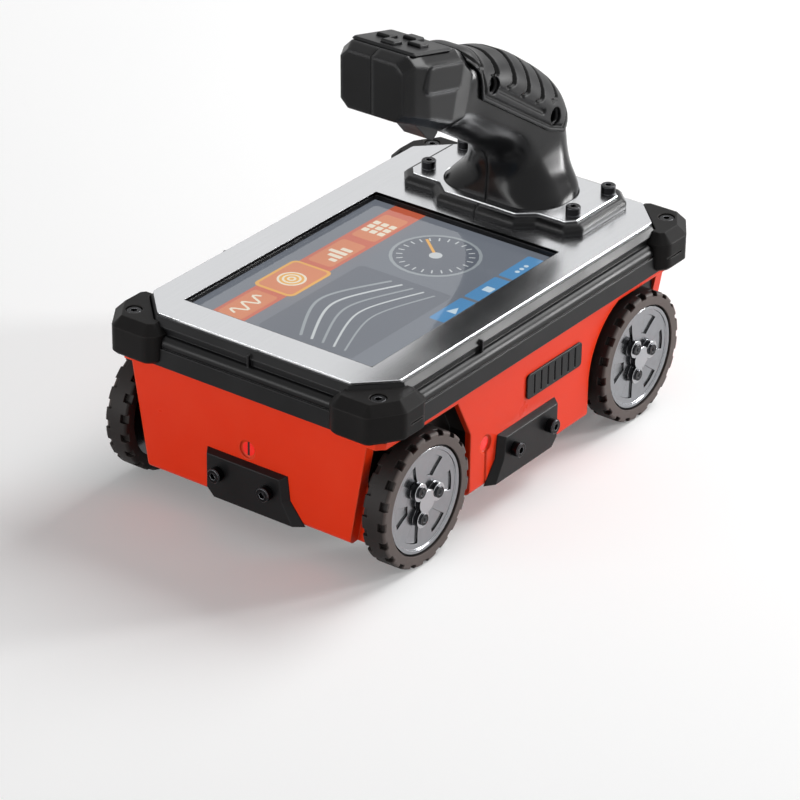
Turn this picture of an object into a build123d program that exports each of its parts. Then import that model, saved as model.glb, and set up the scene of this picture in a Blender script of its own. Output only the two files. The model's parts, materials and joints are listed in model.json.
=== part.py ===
from build123d import *
import math
import os

os.makedirs("parts", exist_ok=True)

# A wheeled scanning radar for walls and floors, with a display on its deck and a handle over it.
# Millimetres. X is across, -Y is the front, +Z is up, and the wheels stand on Z = 0.

# Deck plate and display
plate_width = 140.0
plate_length = 230.0
plate_thickness = 1.5
plate_chamfer = 15.3
plate_corner_round = 2.3
display_side_margin = 17.0
display_front_margin = 17.1
display_rear_margin = 68.2
display_depth = 3.6
display_corner = 1.5
glass_lap = 4.0
glass_thickness = 1.8
panel_lap = 2.5
panel_thickness = 6.0

# Top frame, as steps out from the plate's edge and heights below the deck
rail_out = 7.0
waist_out = 4.4
upright_out = 1.9
eave_out = 2.8
frame_height = 22.4
lip_height = 8.6
waist_height = 3.9
upright_height = 4.7
eave_edge = 0.5
eave_slope = 32.0
lip_taper = 4.0
least_leg = 0.01
bead_radius = 3.6
bead_out = 2.4
bead_lift = 1.9
frame_wall_in = -0.4
frame_skin = 2.6
bead_end_gap = 0.5
tick_width = 1.0
tick_drop = 1.2
tick_proud = 1.2
tick_laser_step = 3.3

# Corner bumpers
bumper_out = 12.0
bumper_gap = 1.8
bumper_reach_x = 22.0
bumper_reach_y = 22.0
bumper_nose_x = 2.0
bumper_nose_y = 2.0
bumper_end_slope = 5.0
bumper_end_step = 4.0
bumper_lift = 1.0
bumper_drop = 3.0
bumper_bevel = 4.5
bumper_round = 5.0
bumper_foot_bevel = 1.5
bumper_split_drop = 12.0
bumper_split_width = 1.0
bumper_split_depth = 0.9
bumper_screw_inset = (1.1, 0.5)
ear_margin = 5.0
bumper_seat_depth = 4.4
bumper_screw_room = 0.4
bumper_screw_length = 16.0
bumper_screw_spare = 0.5

# Lower shell
shell_inset = 2.5
shell_bottom = 14.5
wall = 2.5
gasket_thickness = 0.8
bottom_round = 3.0
roof_thickness = 3.2
cheek_depth = 6.0
cheek_low_in = 17.0
cheek_high_in = 8.0
skid_thickness = 3.0
skid_inset = 6.5
skid_bevel = 1.5

# Wheels and drive
wheel_radius = 32.4
tyre_width = 12.5
tyre_thickness = 6.2
tyre_proud = 5.2
tyre_inner_gap = 4.2
wheel_headroom = 2.2
tyre_round = 1.5
hub_recess = 1.3
hub_thickness = 9.6
hub_rim = 1.8
hub_rim_lift = 0.6
hub_boss_radius = 8.0
front_axle_inset = 27.5
rear_axle_inset = 38.9
axle_radius = 4.0
axle_end_gap = 0.8
arch_gap_front = 7.6
arch_gap_rear = 4.9
arch_corner_height = 20.0
arch_corner_width = 10.5
bearing_radius = 8.0
bearing_width = 5.0
bearing_boss_wall = 4.0
bearing_boss_length = 9.5
tread_blocks = 20
tread_notch = 4.2
tread_depth = 2.2
tread_reach = 3.4
cap_thickness = 1.6
cap_lobe_radius = 4.3
cap_lobe_circle = 8.4
cap_lobe_turn = 8.0
cap_centre_radius = 5.6
hub_screw_head = 1.0
hub_screw_key_depth = 0.6
pulley_radius = 10.0
pulley_width = 7.0
pulley_boss_gap = 0.5
belt_thickness = 1.5
belt_width = 6.0
encoder_radius = 11.0
encoder_thickness = 1.5
encoder_x = 47.0

# Fits
press_gap = 0.02
run_gap = 0.04
slip_gap = 0.2
screw_gap = 0.2
tapped_gap = 0.05
belt_gap = 0.4
tyre_seat_gap = 0.05

# Fasteners
m4_radius = 2.0
m4_head_radius = 3.6
m4_head_height = 4.0
m4_key = 3.0
m4_key_depth = 2.2
m4_long = 22.0
m4_short = 12.0
m3_radius = 1.5
m3_head_radius = 2.75
m3_head_height = 3.0
m3_key = 2.5
m3_key_depth = 1.5
m3_length = 8.0
boss_wall = 2.5
screw_edge = 0.1

# Bolt-on tabs, laser ports and plaques on the shell
tab_height = 22.5
tab_top_half = 23.0
tab_foot_half = 33.0
tab_foot_cut = 4.0
tab_waist_height = 10.5
tab_waist_half = 24.5
tab_proud = 3.6
tab_draft = 2.4
tab_clearance = 0.5
tab_screw_half = 14.0
tab_screw_height = 13.0
tab_laser_step = 32.0
laser_shelf_gap = 0.4
laser_height_side = 36.7
laser_well_gap = 9.5
laser_radius = 3.4
laser_length = 18.0
lens_thickness = 1.5
laser_flare = 1.0
laser_flare_depth = 1.0
guide_width = 1.6
guide_depth = 0.8
plaque_length = 44.0
plaque_height = 12.5
plaque_thickness = 0.9
plaque_round = 2.0
plaque_well_gap = 8.0
plaque_drop = 18.0
plaque_slots = 7
plaque_slot_width = 1.2
plaque_slot_depth = 0.5

# Boards, antenna and battery inside
board_thickness = 1.6
main_board_drop = 10.2
main_board_gap = 2.0
board_laser_gap = 2.6
board_well_gap = 3.3
post_radius = 3.5
post_inset = 3.3
antenna_side_gap = 2.0
antenna_front_gap = 40.0
antenna_rear_gap = 38.6
antenna_lift = 1.5
antenna_post_radius = 3.0
antenna_post_inset = 6.0
antenna_cans = 3
can_width = 24.0
can_height = 10.0
can_pitch = 28.0
can_end_margin = 8.0
battery_half_x = 38.0
battery_length = 64.0
battery_thickness = 18.0
battery_round = 3.6
battery_headroom = 3.0
shelf_thickness = 2.0
battery_gap = 0.4
cover_thickness = 2.0
cover_round = 3.0
cover_bevel = 0.6
cover_lap = 10.0
cover_drop = 1.5
cover_screw_inset = 4.5
sensor_length = 9.0
sensor_overlap = 4.4
sensor_slot_gap = 0.7
sensor_wall = 1.8

# Handle. Its points are (y, z) on the middle plane, from the neck's foot on the deck.
handle_inset = 28.0
flange_thickness = 4.9
clamp_thickness = 1.2
clamp_margin = 2.4
flange_bevel = 1.8
flange_half = 52.0
flange_front = -26.5
flange_back = 26.5
flange_nose = -33.5
flange_nose_half = 22.0
flange_nose_slope = 8.0
flange_corner_x = 6.0
flange_corner_front = 7.5
flange_corner_back = 8.5
flange_screw_x = 42.0
flange_screw_y = (-12.6, 17.1)
neck_gap = 0.4
handle_wall = 2.6
cable_hole_radius = 8.0
cable_y = 1.0
grip_round = 0.86
pad_thickness = 1.6
pad_seat_gap = 0.1
half_screw_points = [(-45.8, 76.6), (3.6, 44.3)]
half_screw_depth = 5.0
half_screw_room = 0.9
pad_screw_room = 1.5
half_screw_length = 20.0
panel_lift = 0.8
panel_length = 28.0
panel_height = 13.2
panel_corner = 2.0
panel_centre = (-90.0, 96.7)
head_ridge = ((-110.5, 112.4), (-75.0, 104.2))
pad_outline = [
    (-75.0, 110.6),
    (-68.0, 100.1),
    (-57.0, 87.1),
    (-55.0, 72.6),
    (-1.0, 38.1),
    (10.0, 34.1),
    (19.0, 40.6),
    (38.0, 56.6),
    (38.0, 110.6),
]

# Keypad on the head
key_centre_y = -93.5
bezel_length = 31.0
bezel_width = 35.0
bezel_height = 1.4
bezel_bevel = 0.9
bezel_rim = 2.2
key_length = 6.8
key_width = 7.6
key_proud = 1.7
key_ring = 8.6
key_lip = 0.6
key_lip_height = 1.0
key_travel = 0.7
key_gap = 0.3

# Trigger under the head
trigger_half = 6.5
trigger_pivot = (-91.0, 75.1)
trigger_profile = [
    (-4.0, 2.5),
    (3.5, 3.0),
    (18.0, -3.0),
    (19.0, -9.0),
    (17.0, -15.5),
    (13.5, -18.0),
    (9.0, -15.5),
    (3.5, -9.5),
    (-1.0, -5.0),
    (-4.5, -2.0),
]
trigger_round = 1.2
trigger_room_y = (-6.5, 21.5)
trigger_room_z = (-30.0, 6.0)
trigger_pin_radius = 1.5
trigger_pin_half = 13.0
trigger_boss_radius = 4.0
trigger_slot_gap = 0.5
trigger_switch_size = (11.0, 11.0, 6.0)
shelf_lift = 10.0
shelf_span = (2.0, 26.0)
switch_step = 4.5
spring_step = 19.5
spring_drop = 2.2
spring_radius = 2.2
spring_wall = 0.6


# Shape helpers

def block(x, y, z):
    size = Box(x[1] - x[0], y[1] - y[0], z[1] - z[0])
    return Pos((x[0] + x[1]) / 2, (y[0] + y[1]) / 2, (z[0] + z[1]) / 2) * size


def rod(centre, axis, start, end, radius):
    turned = {"X": Rot(0, 90, 0), "Y": Rot(90, 0, 0), "Z": Rot(0, 0, 0)}[axis]
    place = dict(zip("XYZ", (0, 0, 0)))
    others = [a for a in "XYZ" if a != axis]
    place[others[0]], place[others[1]] = centre
    place[axis] = (start + end) / 2
    return Pos(place["X"], place["Y"], place["Z"]) * turned * Cylinder(radius, abs(end - start))


def outline(points):
    return make_face(Polyline(*points, close=True))


def slab(points, low, high, taper=0.0):
    return extrude(Plane.XY.offset(low) * outline(points), high - low, taper=taper)


def side_prism(points, left, right):
    return extrude(Plane.YZ.offset(left) * outline(points), right - left)


def octagon(half_a, half_b, leg):
    corner = [(half_a, half_b - leg), (half_a - leg, half_b)]
    right = [(half_a, -half_b + leg), *corner, (-half_a + leg, half_b)]
    return right + [(-x, -y) for x, y in right]


def cornered(half_a, half_b, line):
    return octagon(half_a, half_b, max(half_a + half_b - line, least_leg))


def both_sides(part):
    return part + mirror(part, about=Plane.YZ)


def hexagon_key(flat, depth):
    return extrude(RegularPolygon(flat / 2, 6, major_radius=False), depth)


def cap_screw(radius, head_radius, head_height, key, key_depth, length):
    head = Pos(0, 0, head_height / 2) * Cylinder(head_radius, head_height)
    head = chamfer(head.edges().group_by(Axis.Z)[-1], screw_edge * head_height)
    shank = Pos(0, 0, -length / 2) * Cylinder(radius, length)
    return head + shank - Pos(0, 0, head_height - key_depth) * hexagon_key(key, key_depth)


def m4_screw(length):
    return cap_screw(m4_radius, m4_head_radius, m4_head_height, m4_key, m4_key_depth, length)


def m3_screw(length):
    return cap_screw(m3_radius, m3_head_radius, m3_head_height, m3_key, m3_key_depth, length)


def save(name, shapes):
    solids = [s for shape in shapes for s in shape.solids()]
    shape = solids[0] if len(solids) == 1 else Compound(children=solids)
    shape.label = name
    export_step(shape, f"parts/{name}.step")


# Places worked out from the driving dimensions

half_x = plate_width / 2
half_y = plate_length / 2
arch_top = 2 * wheel_radius + wheel_headroom
shell_top = arch_top + roof_thickness
frame_bottom = shell_top + gasket_thickness
deck_height = frame_bottom + frame_height
frame_top = deck_height - plate_thickness
lip_top = frame_bottom + lip_height
waist_top = lip_top + waist_height
eave_low = waist_top + upright_height
glass_top = deck_height - display_depth
corner_line = half_x + half_y - plate_chamfer
wall_line = corner_line + bumper_gap * math.sqrt(2)
bumper_screw = (half_x - bumper_screw_inset[0], half_y - bumper_screw_inset[1])
ear_line = sum(bumper_screw) + ear_margin * math.sqrt(2)
shell_x = half_x + rail_out - shell_inset
shell_y = half_y + rail_out - shell_inset
shell_floor = shell_bottom + wall
cheek_low = shell_x - cheek_low_in
cheek_high = shell_x - cheek_high_in
hub_radius = wheel_radius - tyre_thickness
tyre_face = shell_x + tyre_proud
well_wall = tyre_face - tyre_width - tyre_inner_gap
front_axle_y = -shell_y + front_axle_inset
rear_axle_y = shell_y - rear_axle_inset
front_well_back = front_axle_y + wheel_radius + arch_gap_front
rear_well_radius = wheel_radius + arch_gap_rear
rear_well_front = rear_axle_y - rear_well_radius
display_width = plate_width - 2 * display_side_margin
display_y = (-half_y + display_front_margin, half_y - display_rear_margin)
display_length = display_y[1] - display_y[0]
display_mid = sum(display_y) / 2
shelf_height = shell_top - battery_headroom - battery_thickness - shelf_thickness
laser_height_end = shelf_height - laser_radius - laser_shelf_gap
laser_y = front_well_back + wall + laser_well_gap
tab_side_y = laser_y + tab_laser_step
plaque_y = rear_well_front - plaque_well_gap - plaque_length / 2
plaque_z = shell_top - plaque_drop
main_board_height = shell_top - main_board_drop
main_board_half_x = shell_x - wall - main_board_gap
main_board_y = (laser_y + laser_radius + board_laser_gap, rear_well_front - wall - board_well_gap)
pulley_outer = -(well_wall - bearing_boss_length - pulley_boss_gap)
pulley_span = (pulley_outer, pulley_outer + pulley_width)
antenna_half_x = -pulley_span[1] - antenna_side_gap
antenna_y = (front_axle_y + antenna_front_gap, rear_axle_y - antenna_rear_gap)
handle_y = half_y - handle_inset
flange_top = flange_thickness
clamp_top = flange_top + clamp_thickness
corners = [(sx, sy) for sx in (-1, 1) for sy in (-1, 1)]
bumper_spots = [(sx * bumper_screw[0], sy * bumper_screw[1]) for sx, sy in corners]
flange_holes = [(sx * flange_screw_x, y) for sx in (-1, 1) for y in flange_screw_y]
flange_points = [(x, handle_y + y) for x, y in flange_holes]


# Deck plate, glass and display panel

def display_cut(grow, low, high):
    width = display_width + 2 * grow
    length = display_length + 2 * grow
    face = RectangleRounded(width, length, display_corner + max(grow, 0))
    return extrude(Plane.XY.offset(low) * Pos(0, display_mid) * face, high - low)


def fascia_plate():
    plate = slab(octagon(half_x, half_y, plate_chamfer), frame_top, deck_height)
    plate = fillet(plate.edges().filter_by(Axis.Z), plate_corner_round)
    plate -= display_cut(0, frame_top, deck_height)
    plate -= rod((0, handle_y + cable_y), "Z", frame_top, deck_height, cable_hole_radius)
    for x, y in flange_points:
        plate -= rod((x, y), "Z", frame_top, deck_height, m4_radius + screw_gap)
    return plate


def display_window():
    return display_cut(glass_lap, glass_top - glass_thickness, glass_top)


def display_panel():
    top = glass_top - glass_thickness
    return display_cut(panel_lap, top - panel_thickness, top)


# Top frame: a stepped rail round a deck, with ears under the bumpers

def layer(out, low, high, line, taper=0.0):
    return slab(cornered(half_x + out, half_y + out, line), low, high, taper)


def bead():
    height = lip_top + bead_lift
    run_x = half_x - bumper_reach_x - bead_end_gap
    run_y = half_y - bumper_reach_y - bead_end_gap
    bars = []
    for sign in (-1, 1):
        bars.append(rod((sign * (half_y + bead_out), height), "X", -run_x, run_x, bead_radius))
        bars.append(rod((sign * (half_x + bead_out), height), "Y", -run_y, run_y, bead_radius))
    return bars


def ticks():
    z = (waist_top, frame_top - tick_drop)
    inner = upright_out / 2
    outer = eave_out + tick_proud
    middle = laser_y - tick_laser_step
    fins = []
    for sign in (-1, 1):
        y = sorted((sign * (half_y + inner), sign * (half_y + outer)))
        fins.append(block((-tick_width / 2, tick_width / 2), y, z))
        x = sorted((sign * (half_x + inner), sign * (half_x + outer)))
        fins.append(block(x, (middle - tick_width / 2, middle + tick_width / 2), z))
    return fins


def top_frame():
    frame = layer(rail_out, frame_bottom, lip_top, ear_line, lip_taper)
    frame += layer(waist_out, lip_top, waist_top, wall_line)
    frame += layer(upright_out, waist_top, eave_low, wall_line)
    frame += layer(eave_out, eave_low, eave_low + eave_edge, wall_line)
    frame += layer(eave_out, eave_low + eave_edge, frame_top, wall_line, eave_slope)
    for bar in bead():
        frame += bar
    for fin in ticks():
        frame += fin
    pocket_line = wall_line - frame_skin * math.sqrt(2)
    frame -= layer(frame_wall_in, frame_bottom, glass_top, pocket_line)
    screw_end = deck_height + clamp_top - m4_long
    for x, y in flange_points:
        frame += rod((x, y), "Z", screw_end - boss_wall, glass_top, m4_radius + boss_wall)
    frame -= display_cut(0, glass_top, frame_top)
    frame -= rod((0, handle_y + cable_y), "Z", glass_top, frame_top, cable_hole_radius)
    for x, y in flange_points:
        frame -= rod((x, y), "Z", screw_end, frame_top, m4_radius + tapped_gap)
    for spot in bumper_spots:
        frame -= rod(spot, "Z", frame_bottom, lip_top, m4_radius + screw_gap)
    return frame


# Rubber bumper on one corner, made at +X +Y and trimmed by the frame

def bumper(frame):
    far_x = half_x + bumper_out
    far_y = half_y + bumper_out
    start_x = half_x - bumper_reach_x
    start_y = half_y - bumper_reach_y
    inner_x = half_x + upright_out
    inner_y = half_y + upright_out
    low = frame_bottom + bumper_lift
    high = deck_height - bumper_drop
    points = [
        (start_x, far_y - bumper_end_step),
        (start_x + bumper_end_slope, far_y),
        (half_x + bumper_nose_x, far_y),
        (far_x, half_y + bumper_nose_y - bumper_end_slope),
        (far_x, start_y + bumper_end_slope),
        (far_x - bumper_end_step, start_y),
        (inner_x, start_y),
        (inner_x, wall_line - inner_x),
        (wall_line - inner_y, inner_y),
        (start_x, inner_y),
    ]
    body = slab(points, low, high)
    body = fillet([e for e in body.edges().filter_by(Axis.Z) if is_outer(e, inner_x, inner_y)], bumper_round)
    for rank, bevel in ((-1, bumper_bevel), (0, bumper_foot_bevel)):
        rim = body.edges().group_by(Axis.Z)[rank]
        body = chamfer([e for e in rim if is_outer(e, inner_x, inner_y)], bevel)
    body -= frame
    split = high - bumper_split_drop
    body -= block(
        (far_x - bumper_split_depth, far_x + bumper_split_depth),
        (start_y - 1, half_y - bumper_nose_y - bumper_end_slope),
        (split, split + bumper_split_width),
    )
    seat = high - bumper_seat_depth
    body -= rod(bumper_screw, "Z", seat, high, m4_head_radius + bumper_screw_room)
    body -= rod(bumper_screw, "Z", low, seat, m4_radius + screw_gap)
    return body.solids().sort_by(SortBy.VOLUME)[-1]


def is_outer(edge, inner_x, inner_y):
    point = edge.center()
    return point.X > inner_x + bumper_gap or point.Y > inner_y + bumper_gap


def corner_copy(part, sx, sy):
    if sx < 0:
        part = mirror(part, about=Plane.YZ)
    if sy < 0:
        part = mirror(part, about=Plane.XZ)
    return part


# Lower shell with four wheel wells, drive bosses, posts and a battery shelf

def front_well(grow):
    back = front_well_back + grow
    front = -shell_y + cheek_depth + grow
    top = arch_top + grow
    points = [
        (front, -1),
        (back, -1),
        (back, top - arch_corner_height),
        (back - arch_corner_width, top),
        (front, top),
    ]
    return side_prism(points, well_wall - grow, shell_x + wall)


def rear_well(grow):
    radius = rear_well_radius + grow
    back = shell_y - cheek_depth - grow
    top = arch_top + grow
    span = (well_wall - grow, shell_x + wall)
    well = rod((rear_axle_y, wheel_radius), "X", *span, radius)
    well += block(span, (rear_axle_y - radius, back), (-1, wheel_radius))
    well += block(span, (rear_axle_y, back), (-1, top))
    well -= block(span, (rear_axle_y - radius, back), (top, top + radius))
    return well - block(span, (back, rear_axle_y + 2 * radius), (-1, top))


def cheek_cut(sign):
    side = [(cheek_low, shell_bottom - 1), (cheek_high, arch_top), (shell_x + wall, arch_top)]
    side.append((shell_x + wall, shell_bottom - 1))
    near = -shell_y - 1 if sign < 0 else shell_y - cheek_depth
    plane = Plane(origin=(0, near, 0), x_dir=(1, 0, 0), z_dir=(0, 1, 0))
    return extrude(plane * outline([(x, -z) for x, z in side]), cheek_depth + 1)


def wells(grow):
    return both_sides(front_well(grow)) + both_sides(rear_well(grow))


def axle_spots():
    return [front_axle_y, rear_axle_y]


def laser_spots():
    ends = [("Y", 0, sign * shell_y, laser_height_end, sign) for sign in (-1, 1)]
    sides = [("X", laser_y, sign * shell_x, laser_height_side, sign) for sign in (-1, 1)]
    return ends + sides


def laser_rod(spot, start, end, radius):
    axis, across, face, height, sign = spot
    return rod((across, height), axis, face - sign * start, face - sign * end, radius)


def tab_screws():
    base = shell_bottom + tab_clearance
    height = base + tab_screw_height
    spots = []
    for sign in (-1, 1):
        for step in (-tab_screw_half, tab_screw_half):
            spots.append(("Y", step, sign * shell_y, height, sign))
            spots.append(("X", tab_side_y + step, sign * shell_x, height, sign))
    return spots


def board_posts():
    x = main_board_half_x - post_inset
    ends = (main_board_y[0] + post_inset, main_board_y[1] - post_inset)
    return [(sx * x, y) for sx in (-1, 1) for y in ends]


def antenna_posts():
    x = antenna_half_x - antenna_post_inset
    low = antenna_y[0] + antenna_post_inset
    high = antenna_y[1] - antenna_post_inset
    return [(sx * x, y) for sx in (-1, 1) for y in (low, high)]


def skid_spots():
    x = antenna_half_x - antenna_post_inset - boss_wall
    y = shell_y - cheek_depth - skid_inset - boss_wall
    return [(sx * x, sy * y) for sx, sy in corners]


def battery_opening(grow, low_y, high_y):
    half = battery_half_x + battery_gap + grow
    low = shelf_height + shelf_thickness - grow
    high = shelf_height + shelf_thickness + battery_thickness + battery_gap + grow
    return block((-half, half), (low_y, high_y), (low, high))


def cover_screws():
    x = battery_half_x + battery_gap + cover_lap - cover_screw_inset
    z = shelf_height + shelf_thickness + battery_thickness / 2
    return [(-x, z), (x, z)]


def lower_shell():
    shell = slab(cornered(shell_x, shell_y, ear_line), shell_bottom, shell_top)
    shell = fillet(shell.edges().group_by(Axis.Z)[0], bottom_round)
    shell -= wells(0)
    for sign in (-1, 1):
        shell -= both_sides(cheek_cut(sign))
    room = slab(cornered(shell_x - wall, shell_y - wall, ear_line - wall), shell_floor, shell_top)
    for sign in (-1, 1):
        cheek_y = sorted((sign * shell_y, sign * (shell_y - cheek_depth - wall)))
        room -= both_sides(block((cheek_low - wall, shell_x), cheek_y, (shell_floor, shell_top)))
    shell -= room - wells(wall)
    inner = well_wall - wall
    outer_boss = bearing_radius + bearing_boss_wall
    seat = well_wall - bearing_boss_length
    for y in axle_spots():
        shell += both_sides(rod((y, wheel_radius), "X", seat, well_wall, outer_boss))
    for x, y in board_posts():
        shell += rod((x, y), "Z", shell_floor, main_board_height, post_radius)
    for x, y in antenna_posts():
        shell += rod((x, y), "Z", shell_floor, shell_floor + antenna_lift, antenna_post_radius)
    for x, y in skid_spots():
        shell += rod((x, y), "Z", shell_floor, shell_floor + 2 * boss_wall, m3_radius + boss_wall)
    back = shell_y - wall
    shelf_z = (shelf_height, shelf_height + shelf_thickness)
    shell += block((-inner, inner), (back - battery_length, back), shelf_z)
    for spot in bumper_spots:
        shell += rod(spot, "Z", bumper_screw_end(), shell_top, m4_radius + boss_wall)
    for spot in tab_screws():
        shell += laser_rod(spot, wall, m4_short, m4_radius + boss_wall)
    for x, z in cover_screws():
        shell += rod((x, z), "Y", back - m3_length, back, m3_radius + boss_wall)
    for y in axle_spots():
        centre = (y, wheel_radius)
        shell -= both_sides(rod(centre, "X", seat, seat + bearing_width, bearing_radius + press_gap))
        shell -= both_sides(rod(centre, "X", seat, well_wall, axle_radius + wall))
    for spot in bumper_spots:
        shell -= rod(spot, "Z", bumper_screw_end(), shell_top, m4_radius + tapped_gap)
    for spot in tab_screws():
        shell -= laser_rod(spot, 0, m4_short, m4_radius + tapped_gap)
    for x, z in cover_screws():
        shell -= rod((x, z), "Y", back - m3_length, shell_y, m3_radius + tapped_gap)
    for x, y in skid_spots():
        shell -= rod((x, y), "Z", shell_bottom, shell_floor + 2 * boss_wall, m3_radius + tapped_gap)
    for spot in laser_spots():
        shell -= laser_rod(spot, 0, wall, laser_radius + press_gap)
        shell -= laser_rod(spot, 0, laser_flare_depth, laser_radius + laser_flare)
    for sign in (-1, 1):
        x = (sign * shell_x - guide_depth, sign * shell_x + guide_depth)
        y = (laser_y - guide_width / 2, laser_y + guide_width / 2)
        shell -= block(x, y, (shell_bottom - 1, laser_height_side - laser_radius))
    shell -= battery_opening(0, back, shell_y)
    return shell


def bumper_seat():
    return deck_height - bumper_drop - bumper_seat_depth


def bumper_screw_end():
    return bumper_seat() - bumper_screw_length - bumper_screw_spare


def shell_gasket():
    ring = slab(cornered(shell_x, shell_y, ear_line), shell_top, frame_bottom)
    ring -= slab(cornered(shell_x - wall, shell_y - wall, ear_line - wall), shell_top, frame_bottom)
    for spot in bumper_spots:
        ring -= rod(spot, "Z", shell_top, frame_bottom, m4_radius + screw_gap)
    return ring


def skid_plate():
    half_a = well_wall - skid_inset + wall
    half_b = shell_y - skid_inset
    plate = slab(octagon(half_a, half_b, skid_inset), shell_bottom - skid_thickness, shell_bottom)
    plate = chamfer(plate.edges().group_by(Axis.Z)[0], skid_bevel)
    low = shell_bottom - skid_thickness
    for x, y in skid_spots():
        plate -= rod((x, y), "Z", low, low + m3_head_height / 2, m3_head_radius + screw_gap)
        plate -= rod((x, y), "Z", low, shell_bottom, m3_radius + screw_gap)
    return plate


def skid_screws():
    head = m3_head_height / 2
    low = shell_bottom - skid_thickness + head
    screw = cap_screw(m3_radius, m3_head_radius, head, m3_key, head / 2, m3_length - boss_wall)
    return [Pos(x, y, low) * Rot(180, 0, 0) * screw for x, y in skid_spots()]


# Bolt-on tabs, drawn on a wall seen from outside and then set on each side

def tab_ring(shrink):
    base = shell_bottom + tab_clearance
    top = base + tab_height - shrink / 2
    plain = tab_top_half - shrink
    return outline([
        (plain, top),
        (tab_waist_half - shrink, base + tab_waist_height),
        (tab_foot_half - 2 * shrink, base),
        (tab_foot_cut - plain, base),
        (-plain, base + tab_foot_cut),
        (-plain, top),
    ])


def tab():
    plane = Plane(origin=(0, 0, 0), x_dir=(1, 0, 0), z_dir=(0, -1, 0))
    return loft([plane * tab_ring(0), plane.offset(tab_proud) * tab_ring(tab_draft)], ruled=True)


def tab_on(spot_sign, side):
    height = shell_bottom + tab_clearance + tab_screw_height
    piece = tab()
    for step in (-tab_screw_half, tab_screw_half):
        piece -= rod((step, height), "Y", -tab_proud, 0, m4_radius + screw_gap)
    if side and spot_sign > 0:
        piece = mirror(piece, about=Plane.YZ)
    if side:
        return Pos(spot_sign * shell_x, tab_side_y, 0) * Rot(0, 0, 90 * spot_sign) * piece
    return Pos(0, spot_sign * shell_y, 0) * Rot(0, 0, 0 if spot_sign < 0 else 180) * piece


def tab_screw(spot):
    axis, across, face, height, sign = spot
    screw = m4_screw(m4_short - tapped_gap)
    if axis == "Y":
        return Pos(across, face + sign * tab_proud, height) * Rot(90 if sign < 0 else -90, 0, 0) * screw
    return Pos(face + sign * tab_proud, across, height) * Rot(0, 90 * sign, 0) * screw


def side_plaque(sign):
    inner = sign * shell_x
    outer = sign * (shell_x + plaque_thickness)
    x = (min(inner, outer), max(inner, outer))
    low = plaque_z - plaque_height / 2
    high = plaque_z + plaque_height / 2
    plate = block(x, (plaque_y - plaque_length / 2, plaque_y + plaque_length / 2), (low, high))
    plate = fillet(plate.edges().filter_by(Axis.X), plaque_round)
    pitch = plaque_length / (plaque_slots + 1)
    for i in range(plaque_slots):
        y = plaque_y - plaque_length / 2 + (i + 1) * pitch
        slot_x = (outer - plaque_slot_depth, outer + plaque_slot_depth)
        slot_y = (y - plaque_slot_width / 2, y + plaque_slot_width / 2)
        plate -= block(slot_x, slot_y, (low + plaque_slot_width, high - plaque_slot_width))
    return plate


# Electronics and battery

def main_board():
    low = main_board_height
    return block((-main_board_half_x, main_board_half_x), main_board_y, (low, low + board_thickness))


def antenna_board():
    low = shell_floor + antenna_lift
    return block((-antenna_half_x, antenna_half_x), antenna_y, (low, low + board_thickness))


def antenna_shields():
    low = shell_floor + antenna_lift + board_thickness
    y = (antenna_y[0] + can_end_margin, antenna_y[1] - can_end_margin)
    first = -can_pitch * (antenna_cans - 1) / 2
    middles = [first + i * can_pitch for i in range(antenna_cans)]
    return [block((x - can_width / 2, x + can_width / 2), y, (low, low + can_height)) for x in middles]


def battery_pack():
    back = shell_y - battery_gap
    low = shelf_height + shelf_thickness
    y = (back - battery_length, back)
    pack = block((-battery_half_x, battery_half_x), y, (low, low + battery_thickness))
    return fillet(pack.edges().filter_by(Axis.Y), battery_round)


def battery_cover():
    half = battery_half_x + battery_gap + cover_lap
    low = shelf_height + shelf_thickness - cover_drop
    high = shelf_height + shelf_thickness + battery_thickness + battery_gap + cover_drop
    cover = block((-half, half), (shell_y, shell_y + cover_thickness), (low, high))
    cover = fillet(cover.edges().filter_by(Axis.Y), cover_round)
    cover = chamfer(cover.faces().sort_by(Axis.Y)[-1].edges(), cover_bevel)
    for x, z in cover_screws():
        cover -= rod((x, z), "Y", shell_y, shell_y + cover_thickness, m3_radius + screw_gap)
    return cover


def encoder_sensor():
    room = sensor_slot_gap + sensor_wall
    x = (encoder_x - room, encoder_x + encoder_thickness + room)
    y = (rear_axle_y - sensor_length / 2, rear_axle_y + sensor_length / 2)
    low = wheel_radius + encoder_radius - sensor_overlap
    body = block(x, y, (low, shelf_height))
    slot = (x[0] + sensor_wall, x[1] - sensor_wall)
    slot_top = wheel_radius + encoder_radius + sensor_slot_gap
    return body - block(slot, y, (low, slot_top))


# Wheel sets. Each piece is made on the right and mirrored for the left.

def tyre(y):
    inside = tyre_face - tyre_width
    ring = rod((y, wheel_radius), "X", inside, tyre_face, wheel_radius)
    ring = fillet(ring.edges().filter_by(GeomType.CIRCLE), tyre_round)
    ring -= rod((y, wheel_radius), "X", inside, tyre_face, hub_radius + tyre_seat_gap)
    notch_low = wheel_radius - tread_depth
    cutter = block((0, tread_reach), (-tread_notch / 2, tread_notch / 2), (notch_low, wheel_radius + 1))
    cuts = []
    for i in range(tread_blocks):
        for x, step in ((tyre_face - tread_reach, 0.0), (inside, 0.5)):
            angle = 360 * (i + step) / tread_blocks
            cuts.append(Pos(x, y, wheel_radius) * Rot(angle, 0, 0) * cutter)
    return ring - cuts


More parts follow.
